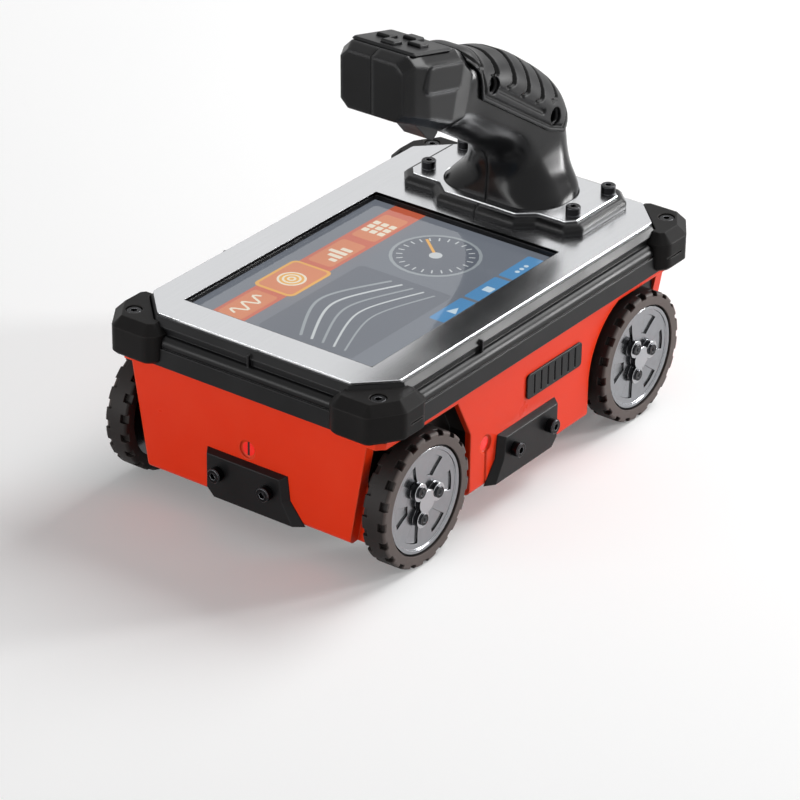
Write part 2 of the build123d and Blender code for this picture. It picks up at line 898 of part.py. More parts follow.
def hub(y):
    outer = tyre_face - hub_recess
    disc = rod((y, wheel_radius), "X", outer - hub_thickness, outer, hub_radius)
    rim = rod((y, wheel_radius), "X", outer, outer + hub_rim_lift, hub_radius)
    disc += rim - rod((y, wheel_radius), "X", outer, outer + hub_rim_lift, hub_radius - hub_rim)
    disc += rod((y, wheel_radius), "X", well_wall + wall, outer - hub_thickness, hub_boss_radius)
    disc -= rod((y, wheel_radius), "X", well_wall + wall, axle_end(), axle_radius + press_gap)
    for py, pz in lobe_points(y):
        disc -= rod((py, pz), "X", outer - m3_length, outer, m3_radius + tapped_gap)
    return disc


def axle_end():
    return tyre_face - hub_recess - axle_end_gap


def lobe_points(y):
    angles = [math.radians(cap_lobe_turn + 120 * i) for i in range(3)]
    steps = [(cap_lobe_circle * math.cos(a), cap_lobe_circle * math.sin(a)) for a in angles]
    return [(y + across, wheel_radius + up) for across, up in steps]


def hub_cap(y):
    low = tyre_face - hub_recess
    high = low + cap_thickness
    cap = rod((y, wheel_radius), "X", low, high, cap_centre_radius)
    for py, pz in lobe_points(y):
        cap += rod((py, pz), "X", low, high, cap_lobe_radius)
    for py, pz in lobe_points(y):
        cap -= rod((py, pz), "X", low, high, m3_radius + screw_gap)
    return cap


def hub_screws(y):
    high = tyre_face - hub_recess + cap_thickness
    screw = cap_screw(m3_radius, m3_head_radius, hub_screw_head, m3_key, hub_screw_key_depth, m3_length)
    return [Pos(high, py, pz) * Rot(0, 90, 0) * screw for py, pz in lobe_points(y)]


def axle(y):
    return rod((y, wheel_radius), "X", -axle_end(), axle_end(), axle_radius)


def pulley(y):
    low, high = pulley_span
    wheel = rod((y, wheel_radius), "X", low, high, pulley_radius)
    return wheel - rod((y, wheel_radius), "X", low, high, axle_radius + press_gap)


def drive_belt():
    low, high = pulley_span
    middle = (low + high) / 2
    span = (middle - belt_width / 2, middle + belt_width / 2)

    def loop(radius):
        shape = rod((front_axle_y, wheel_radius), "X", *span, radius)
        shape += rod((rear_axle_y, wheel_radius), "X", *span, radius)
        z = (wheel_radius - radius, wheel_radius + radius)
        return shape + block(span, (front_axle_y, rear_axle_y), z)

    inner = pulley_radius + belt_gap
    return loop(inner + belt_thickness) - loop(inner)


def encoder_disc():
    high = encoder_x + encoder_thickness
    disc = rod((rear_axle_y, wheel_radius), "X", encoder_x, high, encoder_radius)
    return disc - rod((rear_axle_y, wheel_radius), "X", encoder_x, high, axle_radius + press_gap)


def bearing(y, sign):
    seat = well_wall - bearing_boss_length
    span = (sign * seat, sign * (seat + bearing_width))
    ring = rod((y, wheel_radius), "X", *span, bearing_radius)
    return ring - rod((y, wheel_radius), "X", *span, axle_radius + run_gap)


# Handle sections run from the head's nose, down the grip and the neck, to the flange.
# Each is (upper point, lower point, half width) with points as (y, z).

def head_top(y):
    front, back = head_ridge
    return front[1] + (back[1] - front[1]) * (y - front[0]) / (back[0] - front[0])


head_sections = [
    ((-116.5, 110.1), (-116.0, 81.6), 17.2, 4.0),
    ((-110.5, head_top(-110.5)), (-110.0, 79.4), 19.8, 4.5),
    ((-103.0, head_top(-103.0)), (-100.0, 74.9), 21.5, 5.0),
    ((-75.0, head_top(-75.0)), (-84.0, 67.1), 21.0, 5.0),
    ((-60.0, 95.2), (-70.5, 61.1), 17.5, 8.0),
]
grip_sections = [
    ((-63.0, 95.9), (-77.5, 63.6), 17.0),
    ((-47.5, 90.6), (-68.5, 57.6), 17.0),
    ((-28.5, 84.2), (-50.5, 47.1), 17.0),
    ((-10.0, 74.1), (-34.5, 37.1), 17.2),
    ((10.0, 59.6), (-26.0, 30.1), 17.8),
    ((22.0, 43.6), (-23.5, 23.6), 18.8),
    ((24.0, 27.6), (-23.5, 17.1), 21.5),
    ((22.0, 15.6), (-24.0, 11.6), 27.0),
    ((18.0, clamp_top), (-24.5, clamp_top), 33.0),
]


def section_plane(upper, lower):
    middle = ((upper[0] + lower[0]) / 2, (upper[1] + lower[1]) / 2)
    length = math.dist(upper, lower)
    up = ((upper[0] - lower[0]) / length, (upper[1] - lower[1]) / length)
    plane = Plane(origin=(0, *middle), x_dir=(1, 0, 0), z_dir=(0, -up[1], up[0]))
    return plane, length


def oval(upper, lower, half, grow):
    plane, length = section_plane(upper, lower)
    width = 2 * (half + grow)
    height = length + 2 * grow
    return plane * RectangleRounded(width, height, grip_round * min(width, height) / 2)


def facet(upper, lower, half, leg, grow, drop=0.0):
    plane, length = section_plane(upper, lower)
    half_a = half + grow
    half_b = length / 2 + grow
    points = octagon(half_a, half_b, leg)
    return plane * outline([(x, y - drop if y > 0 else y) for x, y in points])


def grip_body(grow):
    return loft([oval(u, l, h, grow) for u, l, h in grip_sections])


def head_body(grow, drop=0.0):
    return loft([facet(u, l, h, leg, grow, drop) for u, l, h, leg in head_sections], ruled=True)


def nose_wall():
    upper, lower = head_sections[0][:2]
    step = (lower[0] - upper[0], lower[1] - upper[1])
    top = (upper[0] - step[0] + handle_wall, upper[1] - step[1])
    bottom = (lower[0] + step[0] + handle_wall, lower[1] + step[1])
    ahead = top[0] - math.hypot(*step)
    return side_prism([top, bottom, (ahead, bottom[1]), (ahead, top[1])], -flange_half, flange_half)


def flange_outline():
    right = [
        (flange_nose_half, flange_nose),
        (flange_nose_half + flange_nose_slope, flange_front),
        (flange_half - flange_corner_x, flange_front),
        (flange_half, flange_front + flange_corner_front),
        (flange_half, flange_back - flange_corner_back),
        (flange_half - flange_corner_x - clamp_margin, flange_back),
    ]
    return right + [(-x, y) for x, y in reversed(right)]


def flange():
    plate = slab(flange_outline(), 0, flange_top)
    return chamfer(plate.edges().group_by(Axis.Z)[-1], flange_bevel)


def neck_foot(grow, low, high):
    upper, lower, half = grip_sections[-1]
    width = 2 * (half + grow)
    depth = upper[0] - lower[0] + 2 * grow
    face = RectangleRounded(width, depth, grip_round * min(width, depth) / 2)
    return extrude(Plane.XY.offset(low) * Pos(0, (upper[0] + lower[0]) / 2) * face, high - low)


def clamp_plate():
    inner = offset(outline(flange_outline()), -clamp_margin - flange_bevel)
    plate = extrude(Plane.XY.offset(flange_top) * inner, clamp_thickness)
    plate -= neck_foot(neck_gap, flange_top, clamp_top)
    for x, y in flange_holes:
        plate -= rod((x, y), "Z", flange_top, clamp_top, m4_radius + screw_gap)
    return plate


# Frame of the keypad: length runs back down the head's top, and height is square to it

def key_tilt():
    front, back = head_ridge
    return math.degrees(math.atan2(front[1] - back[1], back[0] - front[0]))


def key_plane():
    tilt = math.radians(key_tilt())
    origin = (0, key_centre_y, head_top(key_centre_y))
    return Plane(origin=origin, x_dir=(1, 0, 0), z_dir=(0, math.sin(tilt), math.cos(tilt)))


def key_axis():
    return Axis(key_plane().origin, key_plane().z_dir)


def key_block(x, y, low, high):
    face = Pos((x[0] + x[1]) / 2, (y[0] + y[1]) / 2) * Rectangle(x[1] - x[0], y[1] - y[0])
    return extrude(key_plane().offset(low) * face, high - low)


def key_spots():
    ring = key_ring
    return {"front": (0, -ring), "back": (0, ring), "left": (-ring, 0), "right": (ring, 0)}


def key_box(spot, grow, low, high):
    x = (spot[0] - key_width / 2 - grow, spot[0] + key_width / 2 + grow)
    y = (spot[1] - key_length / 2 - grow, spot[1] + key_length / 2 + grow)
    return key_block(x, y, low, high)


def key_button(spot):
    low = -key_gap - key_lip_height
    stem = key_box(spot, -slip_gap, low, bezel_height + key_proud)
    stem = fillet(stem.edges().group_by(key_axis())[-1], key_proud * 0.5)
    return stem + key_box(spot, key_lip, low, -key_gap)


def key_pocket_depth():
    return key_gap + key_lip_height + key_travel + key_gap + board_thickness


def pocket_half():
    return (bezel_width / 2 - bezel_rim, bezel_length / 2 - bezel_rim)


def keypad_bezel():
    half = (bezel_width / 2, bezel_length / 2)
    plate = key_block((-half[0], half[0]), (-half[1], half[1]), 0, bezel_height)
    plate = fillet(plate.edges().filter_by(key_axis()), bezel_rim)
    plate = chamfer(plate.faces().sort_by(key_axis())[-1].edges(), bezel_bevel)
    for spot in key_spots().values():
        plate -= key_box(spot, slip_gap, 0, bezel_height)
    return plate


def keypad_board():
    half = pocket_half()
    low = -key_pocket_depth()
    room = slip_gap
    x = (-half[0] + room, half[0] - room)
    return key_block(x, (-half[1] + room, half[1] - room), low, low + board_thickness)


# Trigger, its pin, switch and spring

def trigger():
    points = [(trigger_pivot[0] + y, trigger_pivot[1] + z) for y, z in trigger_profile]
    blade = side_prism(points, -trigger_half, trigger_half)
    blade = fillet(blade.edges().filter_by(Axis.X), trigger_round)
    blade -= rod(trigger_pivot, "X", -trigger_half, trigger_half, trigger_pin_radius + run_gap)
    return blade


def trigger_room():
    half = trigger_half + trigger_slot_gap
    y = [trigger_pivot[0] + step for step in trigger_room_y]
    z = [trigger_pivot[1] + step for step in trigger_room_z]
    return block((-half, half), y, z)


def trigger_switch():
    width, length, height = trigger_switch_size
    y, z = switch_place()
    return block((-width / 2, width / 2), (y, y + length), (z, z + height))


def switch_place():
    return (trigger_pivot[0] + switch_step, trigger_pivot[1] + shelf_lift - trigger_switch_size[2])


def trigger_shelf():
    py, pz = trigger_pivot
    low = pz + shelf_lift
    y = (py + shelf_span[0], py + shelf_span[1])
    return block((-flange_half, flange_half), y, (low, low + handle_wall))


def trigger_spring():
    y = trigger_pivot[0] + spring_step
    low = trigger_pivot[1] - spring_drop
    high = trigger_pivot[1] + shelf_lift
    tube = rod((0, y), "Z", low, high, spring_radius)
    return tube - rod((0, y), "Z", low, high, spring_radius - spring_wall)


# Handle in two halves that meet on the middle plane

def side_panels():
    widest = max(half for _, _, half, _ in head_sections)
    bar = Box(2 * (widest + panel_lift), panel_length, panel_height)
    bar = chamfer(bar.edges().filter_by(Axis.X), panel_corner)
    return Pos(0, *panel_centre) * Rot(-key_tilt(), 0, 0) * bar


def handle():
    body = head_body(0) + grip_body(0)
    body += side_panels()
    body += neck_foot(0, flange_top, clamp_top)
    body += flange()
    hollow = grip_body(-handle_wall)
    drop = key_pocket_depth() + handle_wall
    room = head_body(-handle_wall, drop) - nose_wall()
    posts = rod(trigger_pivot, "X", -flange_half, flange_half, trigger_boss_radius)
    posts += trigger_shelf()
    for point in half_screw_points:
        posts += rod(point, "X", -flange_half, flange_half, m3_head_radius + boss_wall)
    body -= (hollow + room) - posts
    body -= trigger_room()
    half_w, half_l = pocket_half()
    body -= key_block((-half_w, half_w), (-half_l, half_l), -key_pocket_depth(), bezel_height)
    body -= rod(trigger_pivot, "X", -trigger_pin_half, trigger_pin_half, trigger_pin_radius + tapped_gap)
    body -= rod((0, cable_y), "Z", 0, clamp_top + handle_wall * 2, cable_hole_radius)
    for x, y in flange_holes:
        body -= rod((x, y), "Z", 0, flange_top, m4_radius + screw_gap)
    seat = half_screw_seat()
    for point in half_screw_points:
        body -= rod(point, "X", seat, flange_half, m3_head_radius + half_screw_room)
        body -= rod(point, "X", 0, seat, m3_radius + screw_gap)
        body -= rod(point, "X", seat - half_screw_length, 0, m3_radius + tapped_gap)
    return body


def half_screw_seat():
    return grip_sections[2][2] - half_screw_depth


def half_of(body, sign):
    box = body.bounding_box()
    x = (0, box.max.X) if sign > 0 else (box.min.X, 0)
    side = block(x, (box.min.Y, box.max.Y), (box.min.Z, box.max.Z))
    return (body & side).solids().sort_by(SortBy.VOLUME)[-1]


def half_screws():
    pieces = []
    for y, z in half_screw_points:
        pieces.append(Pos(half_screw_seat(), y, z) * Rot(0, 90, 0) * m3_screw(half_screw_length - boss_wall))
    return pieces


# Rubber pad over the grip, and the place of all handle pieces on the deck

def save_on_deck(name, shapes):
    save(name, [Pos(0, handle_y, deck_height) * shape for shape in shapes])


def grip_pad():
    outer = grip_body(pad_thickness)
    pad = (outer - grip_body(pad_seat_gap)) & side_prism(pad_outline, -flange_half, flange_half)
    pad -= head_body(slip_gap)
    for point in half_screw_points:
        pad -= rod(point, "X", -flange_half, flange_half, m3_head_radius + pad_screw_room)
    return pad.solids().sort_by(SortBy.VOLUME)[-1]


def main():
    frame = top_frame()
    corner_bumper = bumper(frame)
    save("lower_shell", [lower_shell()])
    save("shell_gasket", [shell_gasket()])
    save("skid_plate", [skid_plate()])
    save("skid_screws", skid_screws())
    save("top_frame", [frame])
    save("fascia_plate", [fascia_plate()])
    save("display_window", [display_window()])
    save("display_panel", [display_panel()])
    names = {(-1, -1): "front_left", (1, -1): "front_right", (-1, 1): "rear_left", (1, 1): "rear_right"}
    for corner, name in names.items():
        save(f"bumper_{name}", [corner_copy(corner_bumper, *corner)])
    bumper_bolt = m4_screw(bumper_screw_length)
    flange_bolt = m4_screw(m4_long)
    bolts = [Pos(x, y, bumper_seat()) * bumper_bolt for x, y in bumper_spots]
    bolts += [Pos(x, y, deck_height + clamp_top) * flange_bolt for x, y in flange_points]
    save("deck_screws", bolts)
    save("tab_screws", [tab_screw(spot) for spot in tab_screws()])
    save("mounting_tabs", [tab_on(sign, side) for sign in (-1, 1) for side in (False, True)])
    save("side_plaques", [side_plaque(-1), side_plaque(1)])
    flare = laser_flare_depth
    save("laser_lenses", [laser_rod(s, flare, flare + lens_thickness, laser_radius) for s in laser_spots()])
    save("laser_modules", [laser_rod(s, wall, wall + laser_length, laser_radius) for s in laser_spots()])
    save("main_board", [main_board()])
    save("antenna_board", [antenna_board()])
    save("antenna_shields", antenna_shields())
    save("battery_pack", [battery_pack()])
    save("battery_cover", [battery_cover()])
    cover_screw = m3_screw(m3_length)
    places = [Pos(x, shell_y + cover_thickness, z) * Rot(-90, 0, 0) for x, z in cover_screws()]
    save("battery_cover_screws", [place * cover_screw for place in places])
    save("encoder_sensor", [encoder_sensor()])
    save("axle_bearings", [bearing(y, sign) for y in axle_spots() for sign in (-1, 1)])
    save("drive_belt", [drive_belt()])
    for name, y in (("front", front_axle_y), ("rear", rear_axle_y)):
        right_tyre = tyre(y)
        right_hub = hub(y)
        right_cap = hub_cap(y)
        save(f"{name}_axle", [axle(y)])
        save(f"{name}_pulley", [pulley(y)])
        save(f"{name}_right_tyre", [right_tyre])
        save(f"{name}_left_tyre", [mirror(right_tyre, about=Plane.YZ)])
        save(f"{name}_right_hub", [right_hub])
        save(f"{name}_left_hub", [mirror(right_hub, about=Plane.YZ)])
        save(f"{name}_hub_caps", [right_cap, mirror(right_cap, about=Plane.YZ)])
        screws = hub_screws(y)
        save(f"{name}_hub_screws", screws + [mirror(s, about=Plane.YZ) for s in screws])
    save("encoder_disc", [encoder_disc()])
    whole_handle = handle()
    save_on_deck("handle_left", [half_of(whole_handle, -1)])
    save_on_deck("handle_right", [half_of(whole_handle, 1)])
    save_on_deck("handle_half_screws", half_screws())
    save_on_deck("clamp_plate", [clamp_plate()])
    save_on_deck("grip_pad", [grip_pad()])
    save_on_deck("keypad_bezel", [keypad_bezel()])
    save_on_deck("keypad_board", [keypad_board()])
    for name, spot in key_spots().items():
        save_on_deck(f"key_{name}", [key_button(spot)])
    save_on_deck("trigger", [trigger()])
    pin = rod(trigger_pivot, "X", -trigger_pin_half, trigger_pin_half, trigger_pin_radius)
    save_on_deck("trigger_pin", [pin])
    save_on_deck("trigger_switch", [trigger_switch()])
    save_on_deck("trigger_spring", [trigger_spring()])


main()
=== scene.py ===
import json
import math

import bmesh
import bpy
from mathutils import Matrix, Vector


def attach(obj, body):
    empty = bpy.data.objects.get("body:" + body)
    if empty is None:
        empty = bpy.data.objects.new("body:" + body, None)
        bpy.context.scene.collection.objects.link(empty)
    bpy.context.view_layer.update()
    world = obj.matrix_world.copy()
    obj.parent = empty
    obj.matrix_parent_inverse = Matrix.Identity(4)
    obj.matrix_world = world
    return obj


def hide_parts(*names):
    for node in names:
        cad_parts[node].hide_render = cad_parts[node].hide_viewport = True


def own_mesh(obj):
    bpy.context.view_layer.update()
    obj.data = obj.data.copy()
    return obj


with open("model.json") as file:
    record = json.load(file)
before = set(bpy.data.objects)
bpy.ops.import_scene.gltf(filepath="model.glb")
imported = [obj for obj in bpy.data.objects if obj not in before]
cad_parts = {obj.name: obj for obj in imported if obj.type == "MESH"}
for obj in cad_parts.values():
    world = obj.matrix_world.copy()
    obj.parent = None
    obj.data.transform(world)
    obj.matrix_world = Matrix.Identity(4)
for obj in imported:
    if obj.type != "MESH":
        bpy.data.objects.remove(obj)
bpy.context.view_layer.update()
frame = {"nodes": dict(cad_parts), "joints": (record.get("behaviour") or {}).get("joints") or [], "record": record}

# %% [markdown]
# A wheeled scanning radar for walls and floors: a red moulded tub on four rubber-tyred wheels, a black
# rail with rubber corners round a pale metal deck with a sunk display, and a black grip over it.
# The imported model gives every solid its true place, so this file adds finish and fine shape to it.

MM = 0.001
cad_nodes = frame["nodes"]


def linear(hex_colour):
    """An sRGB hex value as linear red, green, blue and alpha."""
    parts = [int(hex_colour[i:i + 2], 16) / 255 for i in (1, 3, 5)]
    return [v / 12.92 if v <= 0.04045 else ((v + 0.055) / 1.055) ** 2.4 for v in parts] + [1.0]


# %% [markdown]
# Every finish is drawn by nodes. One small function adds a node, sets its properties, and fills each
# input with a value or a link, so a material reads as a list of what feeds what. A socket is found by
# its number, its identifier or its name, because some nodes have several inputs of one name.

# %% The node helper and a material to start from
def node(tree, kind, inputs=None, **settings):
    made = tree.nodes.new(kind)
    for name, value in settings.items():
        setattr(made, name, value)
    for key, value in (inputs or {}).items():
        by_id = {s.identifier: s for s in made.inputs}
        socket = by_id[key] if key in by_id else made.inputs[key]
        if isinstance(value, bpy.types.NodeSocket):
            tree.links.new(value, socket)
        else:
            socket.default_value = value
    return made


def blank_material(name):
    """A material whose tree is empty, and the tree."""
    material = bpy.data.materials.new(name)
    material.use_nodes = True
    material.node_tree.nodes.clear()
    return material, material.node_tree


def start_material(name, values):
    """A material with one Principled shader, whose constant values sit on its own sockets."""
    material, tree = blank_material(name)
    shader = node(tree, "ShaderNodeBsdfPrincipled", values)
    node(tree, "ShaderNodeOutputMaterial", {"Surface": shader.outputs["BSDF"]})
    place = node(tree, "ShaderNodeTexCoord").outputs["Object"]
    return material, tree, shader, place


# %% [markdown]
# Most of the object is moulded polymer. What the eye sees of a moulding is its body colour, a fine
# grain from the eroded mould, slow changes in gloss where hands and dust have been, and edges that are
# never quite sharp. A Bevel node rounds the shading of every edge, and where it turns the normal away
# from the flat one the colour lifts a little toward the rubbed tone, partly as wear along rubbed corners
# and partly as a painted highlight on the edge.

# %% Edges that are never quite sharp
edge_samples = 6
# A Mix node has an output for each kind of data, and this one is the colour.
MIXED = 2
# Nearly all values of a noise lie in this span.
noise_span = {"From Min": 0.3, "From Max": 0.7}


def soft_edge(tree, edge_mm):
    """A normal that is rounded at edges, and a value that is 1 on flats and falls toward an edge."""
    edge = node(tree, "ShaderNodeBevel", {"Radius": edge_mm * MM}, samples=edge_samples)
    flat = node(tree, "ShaderNodeNewGeometry")
    meet = node(tree, "ShaderNodeVectorMath", {
        0: edge.outputs["Normal"], 1: flat.outputs["Normal"]}, operation="DOT_PRODUCT")
    return edge.outputs["Normal"], meet.outputs["Value"]


# %% Moulded polymers and rubbers
# Patches where hands and dust have been: their size, their tint, and how far they swing the roughness.
patch_mm, patch_tint = 30, 0.07
mould_gloss = (-0.05, 0.06)
# How near an edge the colour lifts toward the rubbed tone, as wear and as a painted highlight.
mould_edge_highlight_and_rub = {"From Min": 1.0, "From Max": 0.80}


def moulded(name, body, rubbed_and_highlit, roughness, grain_mm, grain_depth_mm, edge_mm, values):
    material, tree, shader, place = start_material(name, values)
    rounded, meet = soft_edge(tree, edge_mm)
    cloud = node(tree, "ShaderNodeTexNoise", {"Vector": place, "Scale": 1 / (patch_mm * MM), "Detail": 4.0})
    grain = node(tree, "ShaderNodeTexNoise", {"Vector": place, "Scale": 1 / (grain_mm * MM), "Detail": 2.0})
    # Edge lightening: partly wear, partly a painted highlight.
    edge_rub_and_highlight = node(tree, "ShaderNodeMapRange", {"Value": meet, **mould_edge_highlight_and_rub})
    worn_and_highlit = node(tree, "ShaderNodeMath", {
        0: edge_rub_and_highlight.outputs["Result"], 1: cloud.outputs["Fac"]}, operation="MULTIPLY")
    shade = node(tree, "ShaderNodeMapRange", {
        "Value": cloud.outputs["Fac"], **noise_span, "To Min": 0.0, "To Max": patch_tint})
    tone = node(tree, "ShaderNodeMix", {
        "Factor_Float": shade.outputs["Result"], "A_Color": linear(body), "B_Color": linear(rubbed_and_highlit)},
        data_type="RGBA")
    skin = node(tree, "ShaderNodeMix", {
        "Factor_Float": worn_and_highlit.outputs["Value"], "A_Color": tone.outputs[MIXED], "B_Color": linear(rubbed_and_highlit)},
        data_type="RGBA")
    gloss = node(tree, "ShaderNodeMapRange", {
        "Value": cloud.outputs["Fac"], **noise_span, "To Min": roughness + mould_gloss[0],
        "To Max": roughness + mould_gloss[1]})
    bump = node(tree, "ShaderNodeBump", {
        "Height": grain.outputs["Fac"], "Distance": grain_depth_mm * MM, "Strength": 1.0,
        "Normal": rounded})
    tree.links.new(skin.outputs[MIXED], shader.inputs["Base Color"])
    tree.links.new(gloss.outputs["Result"], shader.inputs["Roughness"])
    tree.links.new(bump.outputs["Normal"], shader.inputs["Normal"])
    return material


# %% [markdown]
# The rail, the tabs and the handle are glass-filled nylon: near black, with a satin skin. The corners
# are EPDM rubber, duller and a little warmer, and the tyres are a harder rubber with brown dust in it.
# The grain sizes are drawn coarser than the real 0.1 mm erosion, so that they show at this distance. A
# grained skin breaks its mirror image up, so the blacks take a low specular level and stay deep.

# %% Black polymers
dull = {"IOR": 1.52, "Specular IOR Level": 0.18}
matt_skin = {"IOR": 1.52, "Specular IOR Level": 0.08}
rail_nylon = moulded("glass_filled_nylon_satin", "#0d0d0e", "#3c3c3e", 0.34, 0.7, 0.02, 0.7, dull)
corner_rubber = moulded("epdm_rubber_moulded", "#131212", "#454240", 0.46, 0.9, 0.03, 0.9, matt_skin)
tyre_rubber = moulded("tyre_rubber_moulded", "#1d1918", "#4c4441", 0.55, 1.1, 0.06, 0.6, dull)
pad_rubber = moulded("soft_grip_elastomer", "#0e0e0f", "#3b3b3e", 0.42, 0.8, 0.03, 0.4, dull)
key_silicone = moulded("silicone_key_caps", "#121213", "#48494c", 0.40, 0.6, 0.02, 0.5, dull)
skid_polymer = moulded("slide_plate_polyethylene", "#2c2c2d", "#66676a", 0.45, 1.4, 0.08, 0.6, dull)
gasket_foam = moulded("gasket_foam_cut", "#0a0a0a", "#222222", 0.85, 0.5, 0.10, 0.3, dull)
print("materials with the black polymers", len(bpy.data.materials))

# %% [markdown]
# Several pieces change colour by place: dust and painted light on a tyre's side, painted shade in a wheel
# well and in a pad's grooves, paint on a cut edge. Each of these is a mask from 0 to 1 that is added to a
# finished material. One helper finds a node in that material again, and another lays a second colour over
# it as far as the mask says.

# %% A second colour over a finish
def found(tree, kind):
    """The one node of a kind in a finished tree."""
    return next(n for n in tree.nodes if n.type == kind)


def paint_over(material, mask, hex_colour):
    tree = material.node_tree
    own = found(tree, "BSDF_PRINCIPLED").inputs["Base Color"]
    both = node(tree, "ShaderNodeMix", {
        "Factor_Float": mask, "A_Color": own.links[0].from_socket, "B_Color": linear(hex_colour)},
        data_type="RGBA")
    tree.links.new(both.outputs[MIXED], own)
    print(material.name, "painted over with", hex_colour)


# %% [markdown]
# A tyre's sidewall is paler than its tread: partly pale dust and bloom, which stay on it because it never
# rubs on the ground while the tread is wiped dark, and partly painted light that makes the side look lit.
# The sidewall begins about 79 mm out from the middle plane, which holds as the wheel turns.

# %% Dusty sidewalls with painted light
sidewall_start, sidewall_full = 78.6, 79.5
tree = tyre_rubber.node_tree
axes = node(tree, "ShaderNodeSeparateXYZ", {"Vector": found(tree, "TEX_COORD").outputs["Object"]})
aside = node(tree, "ShaderNodeMath", {0: axes.outputs["X"]}, operation="ABSOLUTE")
outer = node(tree, "ShaderNodeMapRange", {
    "Value": aside.outputs["Value"], "From Min": sidewall_start * MM, "From Max": sidewall_full * MM})
# The paler sidewall colour is dust and painted light together.
paint_over(tyre_rubber, outer.outputs["Result"], "#564d4a")

# %% [markdown]
# The grooves of the grip's pad are darkened as painted shade, since little light falls in them. The pad's
# mesh carries how deep each point is pressed, and the painted shade follows it down to nearly black.

# %% Painted shade in the grooves of the grip's pad
dark_from, dark_to = 0.05, 0.6
tree = pad_rubber.node_tree
pressed_in = node(tree, "ShaderNodeAttribute", attribute_name="pressed_in")
in_groove = node(tree, "ShaderNodeMapRange", {
    "Value": pressed_in.outputs["Fac"], "From Min": dark_from, "From Max": dark_to})
# Painted shade: the deeper the groove, the darker.
paint_over(pad_rubber, in_groove.outputs["Result"], "#010101")

# %% [markdown]
# The handle is two moulded halves. Where they meet there is a narrow parting groove on the middle
# plane, which reads as a dark hairline with a lit lip. It is drawn in colour and in the bump height, and
# fades out between 0.15 and 0.40 mm from the plane x = 0.

# %% Handle halves
seam_flat, seam_end, seam_depth = 0.15, 0.40, 0.5
handle_nylon = moulded("handle_nylon_two_halves", "#0a0a0b", "#3a3a3c", 0.21, 0.8, 0.012, 2.8, dull)
tree = handle_nylon.node_tree
axes = node(tree, "ShaderNodeSeparateXYZ", {"Vector": found(tree, "TEX_COORD").outputs["Object"]})
aside = node(tree, "ShaderNodeMath", {0: axes.outputs["X"]}, operation="ABSOLUTE")
seam = node(tree, "ShaderNodeMapRange", {
    "Value": aside.outputs["Value"], "From Min": seam_flat * MM, "From Max": seam_end * MM, "To Min": 1.0,
    "To Max": 0.0})
relief = found(tree, "BSDF_PRINCIPLED").inputs["Normal"]
parting = node(tree, "ShaderNodeBump", {
    "Height": seam.outputs["Result"], "Distance": seam_depth * MM, "Strength": 1.0,
    "Normal": relief.links[0].from_socket}, invert=True)
tree.links.new(parting.outputs["Normal"], relief)
paint_over(handle_nylon, seam.outputs["Result"], "#040404")

# %% [markdown]
# The tub is ABS in a strong red orange, with the slight orange peel of a polished mould. Inside its wheel
# wells it is painted near black as painted shade. The shade is not a solid of its own, so the colour
# changes by place: behind the lip, below the arch and inside the length of each well.

# %% Red tub
tub_abs = moulded("abs_red_orange_moulded", "#da2d03", "#ea623a", 0.32, 2.4, 0.012, 1.2,
                  {"IOR": 1.54, "Specular IOR Level": 0.18})
# Each pair is the middle and the half length of a stretch in millimetres.
well_shade_depth = (67.2, 4.3)
arch_height = 67.2
well_spans = ((-82.7, 30.7), (78.3, 35.1))
tree = tub_abs.node_tree
axes = node(tree, "ShaderNodeSeparateXYZ", {"Vector": found(tree, "TEX_COORD").outputs["Object"]})
aside = node(tree, "ShaderNodeMath", {0: axes.outputs["X"]}, operation="ABSOLUTE")
behind_lip = node(tree, "ShaderNodeMath", {
    0: aside.outputs["Value"], 1: well_shade_depth[0] * MM, 2: well_shade_depth[1] * MM}, operation="COMPARE")
below_arch = node(tree, "ShaderNodeMath", {0: axes.outputs["Z"], 1: arch_height * MM}, operation="LESS_THAN")
wells = [node(tree, "ShaderNodeMath", {0: axes.outputs["Y"], 1: middle * MM, 2: half * MM},
              operation="COMPARE").outputs["Value"] for middle, half in well_spans]
either = node(tree, "ShaderNodeMath", {0: wells[0], 1: wells[1]}, operation="MAXIMUM")
low = node(tree, "ShaderNodeMath", {
    0: either.outputs["Value"], 1: below_arch.outputs["Value"]}, operation="MULTIPLY")
well_painted_shade = node(tree, "ShaderNodeMath", {
    0: low.outputs["Value"], 1: behind_lip.outputs["Value"]}, operation="MULTIPLY")
# Painted shade inside the wheel wells.
paint_over(tub_abs, well_painted_shade.outputs["Value"], "#171514")

# %% [markdown]
# Metals keep the default index and take their look from roughness that runs in one direction. A noise
# that is stretched along the rubbing direction stands for the fine scratches of brushing. Real ones are
# 0.05 mm wide, and on the deck they are drawn 0.6 mm wide so that the satin shows in the picture. Edges
# are lighter, partly from wear and partly as a painted highlight, which is most plain on black screws,
# whose rims and key sockets show as bright painted rings.

# %% Metals
tarnish_mm = 45
metal_gloss = (-0.04, 0.05)
# How near an edge the colour lifts toward the worn tone, as wear and as a painted highlight.
metal_edge_highlight_and_rub = {"From Min": 0.99, "From Max": 0.85}


